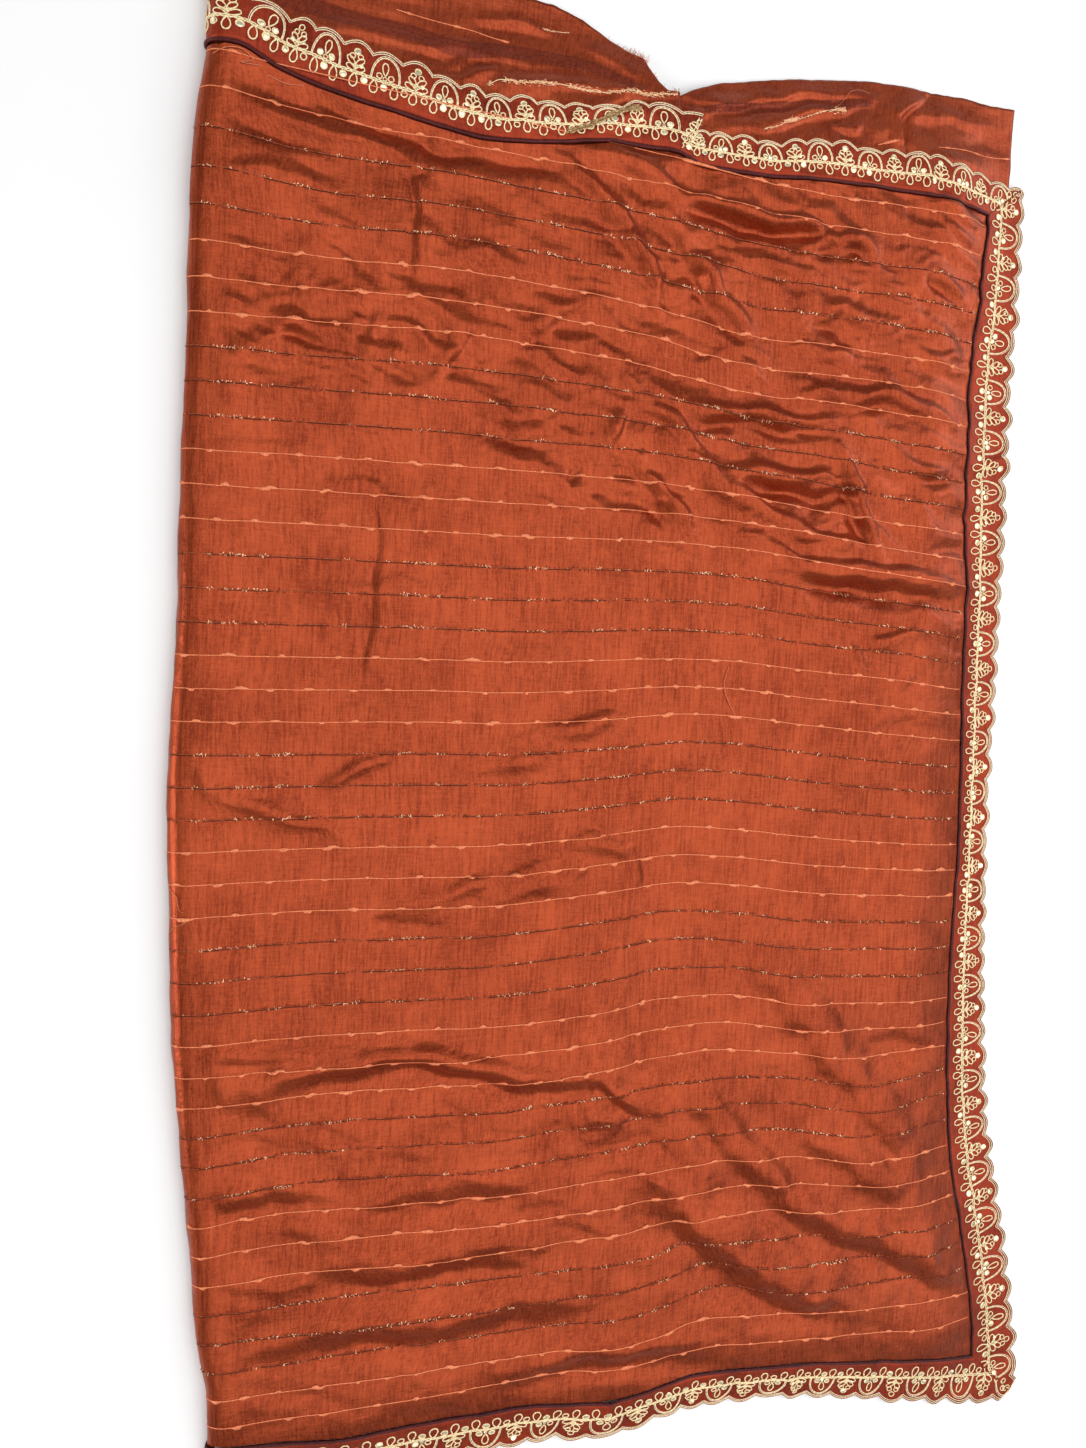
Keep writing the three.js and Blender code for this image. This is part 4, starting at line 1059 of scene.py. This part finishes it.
RIBBONS, CORDS, CRUSHED = [], [], []
for index, (key, border) in enumerate(BORDERS.items()):
    node = {"end": "lace_end", "bottom": "lace_bottom", "top_left": "lace_top_left", "top_right": "lace_top_right"}[key]
    cols = 12
    q = np.linspace(0, 1, cols)
    rows = int(border.length / 1.5)
    wq = 40 * q
    out_mid = border.out(border.length / 2, wq)
    u = np.linspace(0, 1, rows)[:, None]
    o0, o1 = border.out(0.0, wq)[None, :], border.out(border.length, wq)[None, :]
    s = (border.k0 * o0) * (1 - u) + (border.length + border.k1 * o1) * u
    w2 = wq[None, :] + q[None, :] ** 2 * 40 / 44 * scallop(border.motif(s) + border.phase)
    out = border.settle(s, w2)
    for _ in range(4):  # keep to the mitre
        if border.k0:
            s = np.maximum(s, border.k0 * out) if border.k0 > 0 else np.where(s < 30, np.maximum(s, border.k0 * out), s)
        if border.k1:
            s = np.minimum(s, border.length + border.k1 * out)
        out = border.settle(s, w2)
    out[:, 0] -= 1.6  # under the piping
    p, n = border.surface(s.ravel(), out.ravel(), 0.0)
    ribbon = shell("ribbon_" + key, p, p - n * 0.5, rows, cols, RIBBON)
    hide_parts(node)
    gold, pale, dots = embroider(border, 100 + index)
    g, l, d, e = Heap(), Heap(), Heap(), Heap()
    if key == "top_left":
        end = border.length
        f = np.linspace(0, 1, 16)
        for off in (0.7, 2.3):
            gold.append((np.stack([end - off - 2.6 * (1 - f) ** 2, 12.5 + 25 * np.sin(f * 1.45)], -1), 0.5, 0.46))
        r2 = np.random.default_rng(77)
        s_mid = float(border.s[np.argmin(np.hypot(border.p[:, 0] + 96, border.p[:, 1] - 497))])
        for _ in range(15):
            f = np.linspace(0, 1, 34)
            shift = r2.normal(0, 1.7)
            line = np.stack([s_mid - 26 + 58 * f + r2.normal(0, 1.5), 9.5 + 23 * ease(f * 1.1) + shift + 1.1 * np.sin(f * r2.uniform(9, 22) + r2.uniform(0, 6))], -1)
            CRUSHED.append((line, r2.uniform(0.35, 0.62), r2.uniform(0.4, 0.9)))
    stitch(border, gold, g)
    stitch(border, pale, l)
    s = np.arange(border.k0 * 40, border.length + border.k1 * 40, 1.3)
    edge = [(np.stack([s, 40 * (1 + scallop(border.motif(s) + border.phase) / 44.0) - 0.05], -1), 0.36, 0.42)]
    stitch(border, edge, e)
    ds = np.array([x[0] for x in dots])
    dw = np.array([x[1] for x in dots])
    dr = [x[2] for x in dots]
    out = border.settle(ds, dw)
    p, n = border.surface(ds, out, 0.25)
    r = np.random.default_rng(300 + index)
    for i in range(len(ds)):
        if border.k0 * out[i] + 2.2 < ds[i] < border.length + border.k1 * out[i] - 2.2:
            d.disc(p[i], n[i] + r.normal(0, 0.13, 3), dr[i] * r.uniform(0.92, 1.06))
    made = [g.object("cords_" + key, GOLD, "lace"), l.object("fine_cords_" + key, PALE, "lace"),
            d.object("sequins_" + key, SEQUIN, "lace", smooth=False), e.object("edging_" + key, EDGE, "lace")]
    if key == "top_left":
        # the crushed cords, drawn in the darker gold: painted shade
        crushed = Heap()
        stitch(border, CRUSHED, crushed)
        made.append(crushed.object("crushed_cords", PAINTED_SHADE_GOLD, "lace"))
    print(key, round(border.length), [sum(len(f.vertices) - 2 for f in o.data.polygons) for o in made])
    RIBBONS.append((ribbon, (round(float(np.mean(border.wide)) * 0.001, 4), round(border.length * 0.001, 3)), made))

# ------------------------------------------------------------------ piping
for key, parts in {"top": ("top_left", "top_right"), "end": ("end",), "bottom": ("bottom",)}.items():
    heap = Heap()
    if key == "top":
        A, B = BORDERS["top_left"], BORDERS["top_right"]
        keep = A.s < A.length - 10
        pb = B.p[B.p[:, 0] > A.p[keep][-1, 0] + 3]
        path = np.concatenate([A.p[keep], pb])
        border = Border(path, np.full(len(path), 40.0), None, corner_top, A.phase)
    else:
        border = BORDERS[key]
    s = np.linspace(border.k0 * 1.8, border.length + border.k1 * 1.8, int(border.length / 2.2))
    p, n = border.surface(s, np.full(s.shape, 1.9), 0.75)
    fat = CORD_R * (1 + 0.07 * noise2(s / 23, 0 * s, 51))
    heap.tube(p, n, fat, fat * 0.86, 10)
    cord = heap.object("piping_cord_" + key, PLUM, "piping")
    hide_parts("piping_" + key)
    CORDS.append(cord)

# ------------------------------------------------------------------ the layers that show past the top border
LEFT_EDGE = np.array([[-400, 594], [-382, 597], [-330, 601], [-270, 604], [-200, 606], [-134, 605], [-110, 599], [-90, 590],
                      [-72, 582], [-57, 579], [-53, 570], [-46, 561], [-38, 555], [-28, 556]], float)
RIGHT_EDGE = np.array([[-60, 530], [-40, 542], [-27, 554], [-14, 562], [10, 573], [46, 583], [80, 591], [128, 600], [154, 604], [183, 606],
                       [211, 606], [249, 609], [276, 607], [303, 609]], float)
LEFT_FOLDS = [
    (-1.7, 4, 6, [(-244, 541), (-220, 542), (-204, 550)]),
    (-1.7, 4, 6, [(-230, 531), (-207, 535), (-191, 546), (-176, 548)]),
    (1.9, 3, 7, [(-203, 529), (-182, 541), (-174, 551)]),
    (1.7, 3, 6, [(-186, 531), (-161, 536), (-122, 543), (-89, 544), (-55, 550), (-32, 553)]),
    (1.7, 3, 8, [(-180, 526), (-160, 530), (-144, 535), (-133, 539)]),
    (2.2, 3, 8, [(-108, 519), (-91, 532), (-73, 544)]),
    (-1.6, 5, 5, [(-84, 523), (-66, 538), (-50, 547)]),
    (1.4, 3, 5, [(-191, 583), (-165, 585), (-139, 583)]),
    (-1.2, 4, 4, [(-194, 578), (-166, 578), (-138, 577)]),
    (1.4, 3, 10, [(-340, 547), (-291, 549), (-238, 548), (-215, 553), (-171, 553), (-120, 556)]),
    (-1.2, 7, 8, [(-336, 560), (-280, 562), (-239, 560), (-190, 566)]),
    (1.3, 4, 9, [(-360, 580), (-300, 588), (-240, 586)]),
    (1.2, 4, 8, [(-110, 578), (-80, 570), (-60, 562)]),
]
RIGHT_FOLDS = [
    (2.0, 2.4, 9, [(-25, 557), (-13, 553), (11, 553), (40, 562), (81, 577), (126, 587), (155, 588)]),
    (-1.6, 4, 6, [(-20, 549), (8, 547), (40, 556), (83, 570), (124, 581)]),
    (1.8, 3, 8, [(-15, 539), (6, 549), (30, 558)]),
    (2.2, 3, 9, [(14, 533), (47, 541), (71, 552), (96, 564), (112, 570), (126, 572), (139, 578), (155, 584)]),
    (-1.8, 5, 7, [(60, 540), (85, 551), (110, 560), (128, 563)]),
    (3.4, 2.0, 13, [(184, 545), (179, 567), (177, 575), (189, 586), (206, 600)]),
    (-3.4, 4.0, 3.5, [(191, 536), (187, 556), (185, 574), (192, 584)]),
    (1.6, 3, 8, [(108, 556), (131, 556), (144, 567)]),
    (-1.6, 5, 6, [(118, 552), (135, 550)]),
    (1.4, 6, 9, [(150, 552), (165, 568)]),
    (-1.5, 6, 8, [(198, 572), (218, 573)]),
    (1.4, 4, 10, [(184, 577), (208, 583), (240, 587), (290, 590)]),
    (-1.4, 6, 8, [(258, 571), (300, 578)]),
    (1.2, 5, 8, [(206, 553), (240, 549), (290, 552)]),
]


def under_top(x, y, folds, seed):
    """Upper face of a layer that lies under the end panel."""
    a, b = shares(x, y)
    z = ground(x, y, a, b) + 0.5 + UNDER_CLOTH
    free = ease((y - top_y(a) - 6) / 26)
    r = 0.9 * noise2(x / 74, y / 24, seed) + 0.45 * noise2(x / 30 + 0.3 * y / 30, y / 13, seed + 1)
    wx, wy = x + 4 * noise2(x / 26, y / 26, seed + 2), y + 3 * noise2(x / 26, y / 26, seed + 3)
    for rise, steep, soft, points in folds:
        d, side, share = along(points, wx, wy)
        fade = np.sin(np.pi * np.clip(share * 0.92 + 0.04, 0, 1)) ** 0.6
        r = r + 1.45 * rise * fade * np.exp(-(d / np.where(side > 0, soft, steep)) ** 2)
    z = z + free * r
    if seed == 91:
        z = z - 1.5 * ease((-14 - x) / 14)
    low = np.minimum(np.minimum(top_of(x - 2, y), top_of(x + 2, y)), np.minimum(top_of(x, y - 2.5), top_of(x, y + 2.5)))
    z = np.minimum(z, np.where(y < top_y(a) + 44, low - 1.1, 99))
    return np.maximum(z, 0.9)


def under_layer(name, x0, x1, edge, folds, seed, wrap):
    """A thin shell from under the panel to its cut edge; its left end turns down and under when wrap is set."""
    cols, rows = int((x1 - x0) / 2.2), 78
    u = np.linspace(x0, x1, cols)
    rim = np.interp(u, edge[:, 0], edge[:, 1]) + 0.5 * noise2(u / 9, 0 * u, seed + 5)
    a = np.clip((u - fold_x(1.0)) / (seam_x(1.0) - fold_x(1.0)), 0, 1)
    foot = top_y(a) - 70
    v = np.linspace(0, 1, rows)[:, None] ** 0.92
    x = np.broadcast_to(u, (rows, cols)).copy()
    y = foot * (1 - v) + rim * v
    if seed == 81:  # the frayed end leans out past its foot
        x += ease((x - (x1 - 60)) / 60) * 1.5 * np.sin(v * 3)
    z = under_top(x.ravel(), y.ravel(), folds, seed).reshape(x.shape)
    if wrap:
        turn_r = 9.0
        t = np.linspace(math.pi, 0, 12, endpoint=False)[None, :]
        z0 = z[:, :1]
        half = np.maximum((z0 - 0.7) / 2, 0.2)
        wx = x[:, :1] - np.minimum(turn_r, half + 1.5) * np.sin(t)
        wz = 0.7 + half + half * np.cos(t)
        x = np.concatenate([wx, x], 1)
        z = np.concatenate([wz, z], 1)
        y = np.concatenate([np.broadcast_to(y[:, :1], wx.shape), y], 1)
    p = np.stack([x, y, z], -1)
    du, dv = np.gradient(p, axis=1), np.gradient(p, axis=0)
    n = np.cross(du, dv)
    n /= np.maximum(np.linalg.norm(n, axis=-1), 1e-9)[..., None]
    top, low = p.reshape(-1, 3), (p - n * 0.55).reshape(-1, 3)
    low[:, 2] = np.maximum(low[:, 2], 0.12)
    return shell(name, top, low, p.shape[0], p.shape[1], UNDER)


layer_left = under_layer("cut_layer_left", -378.0, -28.0, LEFT_EDGE, LEFT_FOLDS, 81, True)
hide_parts("under_layer_left")
layer_right = under_layer("cut_layer_right", -48.0, 303.0, RIGHT_EDGE, RIGHT_FOLDS, 91, False)
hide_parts("under_layer_right")


def smooth_line(points, step=1.2):
    p = np.asarray(points, float)
    s = np.concatenate([[0], np.cumsum(np.hypot(*np.diff(p, axis=0).T))])
    t = np.arange(0, s[-1], step)
    return np.stack([curve(s, p[:, 0])(t), curve(s, p[:, 1])(t)], -1)


def on_under(x, y, lift, side):
    folds, seed = (LEFT_FOLDS, 81) if side == "left" else (RIGHT_FOLDS, 91)
    z = under_top(x, y, folds, seed)
    e = 1.0
    zx = (under_top(x + e, y, folds, seed) - under_top(x - e, y, folds, seed)) / (2 * e)
    zy = (under_top(x, y + e, folds, seed) - under_top(x, y - e, folds, seed)) / (2 * e)
    n = np.stack([-zx, -zy, np.ones_like(z)], -1)
    n /= np.linalg.norm(n, axis=-1)[..., None]
    return np.stack([x, y, z], -1) + n * np.broadcast_to(lift, x.shape)[..., None], n


rng = np.random.default_rng(9)
band, pins, bits, lines, fray, wisps = Heap(), Heap(), Heap(), Heap(), Heap(), Heap()
BANDS = {
    "left": [(-345, 561, 7), (-313, 560, 7), (-272, 558, 7), (-240, 558, 7), (-212, 554, 6.5), (-171, 560, 6), (-136, 562, 5.5),
             (-101, 561, 5), (-85, 557, 4.4), (-66, 553, 3)],
    "right": [(-6, 546, 3), (20, 553, 3.6), (46, 559, 4), (74, 566, 4.4), (103, 573, 4.4), (126, 578, 4), (152, 584, 3)],
}
for side, pts3 in BANDS.items():
    p3 = np.asarray(pts3, float)
    mid = smooth_line(p3[:, :2], 1.6)
    half = np.interp(mid[:, 0], p3[:, 0], p3[:, 2])
    slope = np.gradient(mid[:, 1]) / np.gradient(mid[:, 0])
    nx, ny = -slope / np.hypot(1, slope), 1 / np.hypot(1, slope)
    across = np.linspace(-1, 1, 9)
    gx = mid[:, 0][None, :] + nx[None, :] * across[:, None] * half[None, :]
    gy = mid[:, 1][None, :] + ny[None, :] * across[:, None] * half[None, :]
    lift = 0.10 + 0.16 * (1 - across[:, None] ** 4) + 0 * gx
    p, n = on_under(gx.ravel(), gy.ravel(), lift.ravel(), side)
    band.add(p, grid_faces(*gx.shape))
    for w in (-0.55, 0.1, 0.72):
        gap = 2.3
        s = np.arange(2.0, len(mid) * 1.6 - 3, gap)
        i = np.minimum((s / 1.6).astype(int), len(mid) - 1)
        hx = mid[i, 0] + nx[i] * w * half[i] + rng.normal(0, 0.18, len(i))
        hy = mid[i, 1] + ny[i] * w * half[i] + rng.normal(0, 0.18, len(i))
        keep = (noise2(hx / 26, hx * 0 + w * 7, 61) > -0.25) & (rng.random(len(i)) < 0.86)
        p, n = on_under(hx[keep], hy[keep], np.full(keep.sum(), 0.27), side)
        # each pin hole is a dark disc laid on the cloth: painted shade
        for a, b in zip(p, n):
            pins.disc(a, b, rng.uniform(0.42, 0.66), 0.02, 6)


def tinsel_line(points, side, dense, spread, core_r=0.34):
    mid = smooth_line(points, 1.0)
    wob = 0.5 * noise2(mid[:, 0] / 7, mid[:, 1] / 7, 62)
    p, n = on_under(mid[:, 0], mid[:, 1] + wob, np.full(len(mid), 0.35), side)
    lines.tube(p, n, core_r, core_r * 0.8, 4)
    count = int(len(mid) * dense)
    at = rng.integers(0, len(mid) - 1, count)
    gate = noise2(mid[at, 0] / 17, mid[at, 0] * 0, 63) > -0.35
    at = at[gate]
    ang = rng.normal(0.15, 0.45, len(at)) + np.where(rng.random(len(at)) < 0.5, math.pi, 0)
    length = rng.uniform(1.2, 3.2, len(at))
    ox = mid[at, 0] + rng.normal(0, 0.5, len(at))
    oy = mid[at, 1] + rng.normal(0, spread, len(at))
    bx = np.stack([ox - length / 2 * np.cos(ang), ox, ox + length / 2 * np.cos(ang)], 1)
    by = np.stack([oy - length / 2 * np.sin(ang) * 0.5, oy, oy + length / 2 * np.sin(ang) * 0.5], 1)
    lift = np.stack([rng.uniform(0.1, 0.5, len(at)), rng.uniform(0.6, 1.3, len(at)), rng.uniform(0.1, 0.5, len(at))], 1)
    p, n = on_under(bx.ravel(), by.ravel(), lift.ravel(), side)
    p, n = p.reshape(-1, 3, 3), n.reshape(-1, 3, 3)
    for i in range(len(at)):
        bits.tube(p[i], n[i], rng.uniform(0.16, 0.34), 0.13, 3)


tinsel_line([(-186, 529), (-178, 534), (-161, 535), (-144, 538), (-122, 541), (-104, 541), (-89, 542), (-71, 547), (-55, 548), (-30, 553)],
            "left", 3.2, 0.75)
tinsel_line([(-141, 584), (-131, 585), (-120, 586)], "left", 1.6, 0.3, 0.2)
tinsel_line([(47, 539), (60, 545), (71, 551), (84, 557), (96, 563), (112, 569), (126, 571)], "right", 0.8, 0.3, 0.22)
tinsel_line([(66, 549), (72, 552), (79, 555)], "right", 6.0, 0.7)
tinsel_line([(109, 567), (117, 570), (126, 571)], "right", 9.0, 1.0)
for points, side in (([(-256, 574), (-226, 572), (-195, 571), (-180, 569), (-168, 568)], "left"),
                     ([(218, 557), (251, 562), (273, 562), (302, 566)], "right"),
                     ([(156, 547), (166, 551), (176, 554)], "right")):
    mid = smooth_line(points, 1.2)
    fat = 0.45 + 0.14 * noise2(mid[:, 0] / 6, mid[:, 1] / 6, 64)
    for c in np.linspace(8, len(mid) - 4, 3):
        fat = fat + 0.75 * np.exp(-((np.arange(len(mid)) - c) / 2.0) ** 2)
    p, n = on_under(mid[:, 0], mid[:, 1], np.full(len(mid), 0.2), side)
    wisps.tube(p, n, fat, fat * 0.6, 5)
# the frayed corner
edge = smooth_line([(-92, 591), (-72, 582), (-57, 579), (-53, 570), (-46, 561), (-38, 555), (-28, 556)], 0.28)
tang = np.gradient(edge, axis=0)
tang /= np.linalg.norm(tang, axis=1)[:, None]
outw = np.stack([-tang[:, 1], tang[:, 0]], -1)
for i in range(0, len(edge)):
    share = i / len(edge)
    if rng.random() > 0.10 + 0.55 * math.exp(-((share - 0.40) / 0.13) ** 2) + 0.4 * (share > 0.94):
        continue
    d = outw[i] + rng.normal(0, 0.45, 2)
    length = rng.uniform(0.7, 2.2) * (1.5 if 0.3 < share < 0.5 else 1.0)
    f = np.linspace(-0.5, 1, 5)
    bend = rng.normal(0, 0.7)
    q = edge[i] + d * (f * length)[:, None] + np.array([-d[1], d[0]]) * (bend * f ** 2)[:, None]
    p, n = on_under(q[:, 0], q[:, 1], np.linspace(0.05, rng.uniform(0.2, 1.2), 5), "left")
    p[:, 2] = np.maximum(p[:, 2], 0.3)
    fray.tube(p, n, rng.uniform(0.11, 0.2), 0.14, 3)


def loose(points, lifts, radius, where="panel"):
    """One loose thread; lifts are its heights over the cloth at its points, mm."""
    q = smooth_line(points, 0.7)
    f = np.linspace(0, 1, len(q))
    h = np.interp(f, np.linspace(0, 1, len(lifts)), lifts)
    p, n = drape(q[:, 0], q[:, 1], h) if where == "panel" else on_under(q[:, 0], q[:, 1], h, where)
    fray.tube(p, n, radius, radius, 5)


loose([(41, 99), (37, 85), (43, 67), (49, 59)], [0.3, 1.3, 1.4, 0.3], 0.32)
loose([(-401, -79), (-395, -85), (-392, -96), (-389, -97)], [0.3, 1.0, 1.0, 0.3], 0.26)
loose([(-402, -114), (-395, -108), (-384, -102)], [0.3, 1.0, 0.3], 0.26)
loose([(115, 571), (122, 577), (129, 587), (140, 592), (151, 592)], [0.3, 1.6, 2.0, 1.2, 0.3], 0.2, "right")
loose([(-384, 508), (-376, 513), (-365, 514), (-358, 509), (-366, 506), (-352, 507)], [0.3, 0.9, 1.2, 1.4, 0.9, 0.3], 0.34)
loose([(-347, 502), (-334, 499), (-322, 500)], [0.2, 0.7, 0.3], 0.34)

BAND = satin("selvedge", (0.27, 0.040, 0.014), (0.13, 0.017, 0.006), rough=0.46, metal=0.4, streak=1.1)
band_ob = band.object("selvedge_bands", BAND, "satin")
pins_ob = pins.object("pin_holes", PIN_HOLE_SHADE, "satin", smooth=False)
bits_ob = bits.object("tinsel_bits", TINSEL, "lace", smooth=False)
lines_ob = lines.object("tinsel_lines", GOLD, "lace")
wisps_ob = wisps.object("slub_lines", SLUB, "satin")
fray_ob = fray.object("loose_threads", FRAY, "satin")

# ------------------------------------------------------------------ the folded layers underneath
RADIUS = 22.0


def stack_net(rows, cols, inset, grow):
    """Places of an even net on the stack's outline, drawn in by inset at its rim; and distance from the rim."""
    reach = np.array([0.0, 0.35, 1.1, 2.4, 4.5])

    def spaced(n, length):
        core_ = np.linspace(reach[-1], length - reach[-1], n - 2 * len(reach) + 2)[1:-1]
        return np.concatenate([reach, core_, length - reach[::-1]])

    u, v = spaced(cols, 600.0) / 600.0, spaced(rows, 940.0) / 940.0
    U, V = np.meshgrid(u, v)
    x_l, x_r = fold_x(V) + 15.0 + inset - grow, seam_x(V) - STACK_IN_END - inset + grow
    x = x_l * (1 - U) + x_r * U
    a, _ = shares(x.ravel(), (V * 900 - 450).ravel())
    a = a.reshape(x.shape)
    y_l, y_h = low_y(a) + STACK_IN_LOW + inset - grow, top_y(a) + STACK_OUT_TOP - inset + grow
    y = y_l * (1 - V) + y_h * V
    dx = np.maximum(x_l + RADIUS - x, x - (x_r - RADIUS))
    dy = np.maximum(y_l + RADIUS - y, y - (y_h - RADIUS))
    far = (dx > 0) & (dy > 0)
    d = np.hypot(dx, dy)
    pull = np.where(far & (d > RADIUS), 1 - RADIUS / np.maximum(d, 1e-6), 0)
    sx = np.where(x < (x_l + x_r) / 2, 1.0, -1.0)
    sy = np.where(y < (y_l + y_h) / 2, 1.0, -1.0)
    x, y = x + sx * dx * pull, y + sy * dy * pull
    edge_d = np.minimum(np.minimum(U * 600, (1 - U) * 600), np.minimum(V * 940, (1 - V) * 940))
    corner_d = np.where(far, np.minimum(edge_d, np.maximum(RADIUS - d, 0)), edge_d)
    return x, y, corner_d


layers = Heap()
pitch = STACK_HEIGHT / LAYERS
for k in range(LAYERS):
    rows_, cols_ = (84, 60) if k == 0 else (44, 30)
    x, y, d = stack_net(rows_, cols_, 1.6 * (k % 2) + (1.0 if k == 0 else 0.0), 0.0)
    wave = 0.8 * noise2(x / 60, y / 60 + k * 3.1, 71)
    x = x + np.where(d < 30, wave, 0)
    y = y + np.where(d < 30, 0.8 * noise2(x / 55, y / 55 + k * 2.3, 72), 0)
    mid_z = pitch * (k + 0.5)
    round_ = np.sqrt(np.clip(1 - (1 - np.clip(d / 2.4, 0, 1)) ** 2, 0, 1))
    half = (pitch * 0.5 - 0.03) * round_
    top = np.stack([x, y, mid_z + half], -1)
    under = np.stack([x, y, mid_z - half], -1)
    if k == 0:
        under[..., 2] += round_ * np.maximum(0, 0.5 * noise2(x / 90, y / 34, 73) + 0.25 * noise2(x / 40, y / 20, 74) - 0.1)
        under[..., 2] = np.maximum(under[..., 2], 0.0)
    lowest = np.min([top_of(x + i, y + j) for i in (-18, -9, 0, 9, 18) for j in (-16, -8, 0, 8, 16)], axis=0)
    give = np.clip((lowest - 2.0) / STACK_HEIGHT, 0.2, 1)[..., None]
    top[..., 2:] *= give
    under[..., 2:] *= give
    m = x.size
    f = grid_faces(*x.shape)
    layers.add(np.concatenate([top.reshape(-1, 3), under.reshape(-1, 3)]), np.concatenate([f, f[:, ::-1] + m]))
stack = layers.object("folded_cloth", STACK, "satin")
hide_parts("folded_layers")

# ------------------------------------------------------------------ floor and light
mesh = bpy.data.meshes.new("floor")
mesh.from_pydata([(-8, -8, -0.0003), (8, -8, -0.0003), (8, 8, -0.0003), (-8, 8, -0.0003)], [], [[0, 1, 2, 3]])
floor = bpy.data.objects.new("floor", mesh)
bpy.context.scene.collection.objects.link(floor)
n = Nodes("floor_paper")
tc = n.new("ShaderNodeTexCoord")
n.link(n.ramp(n.noise(tc.outputs["Object"], 3.0, 2.0), [(0.3, (0.91, 0.91, 0.91)), (0.7, (0.93, 0.93, 0.93))]), n.bsdf.inputs["Base Color"])
n.bsdf.inputs["Roughness"].default_value = 0.9
n.bsdf.inputs["Specular IOR Level"].default_value = 0.1
mesh.materials.append(n.mat)


def lamp(name, place, aim, size, power, colour=(1, 1, 1)):
    data = bpy.data.lights.new(name, "AREA")
    data.shape = "RECTANGLE"
    data.size, data.size_y = size
    data.energy = power
    data.color = colour
    ob = bpy.data.objects.new(name, data)
    d = Vector(aim) - Vector(place)
    ob.matrix_world = Matrix.Translation(place) @ d.to_track_quat("-Z", "Y").to_matrix().to_4x4()
    bpy.context.scene.collection.objects.link(ob)
    return ob


lamp("softbox", (1.20, -0.20, 1.6), (1.20, -0.1999, 0.0), (4.0, 3.40), 64.0)
lamp("right", (2.5, 1.2, 1.0), (0.0, 0.0, 0.0), (1.6, 1.2), 13.0)
lamp("left", (-2.7, -0.6, 0.9), (-0.3, 0.0, 0.0), (1.6, 0.9), 30.0)
world = bpy.data.worlds.new("studio")
world.use_nodes = True
world.node_tree.nodes["Background"].inputs["Color"].default_value = (1, 1, 1, 1)
world.node_tree.nodes["Background"].inputs["Strength"].default_value = 0.30
bpy.context.scene.world = world
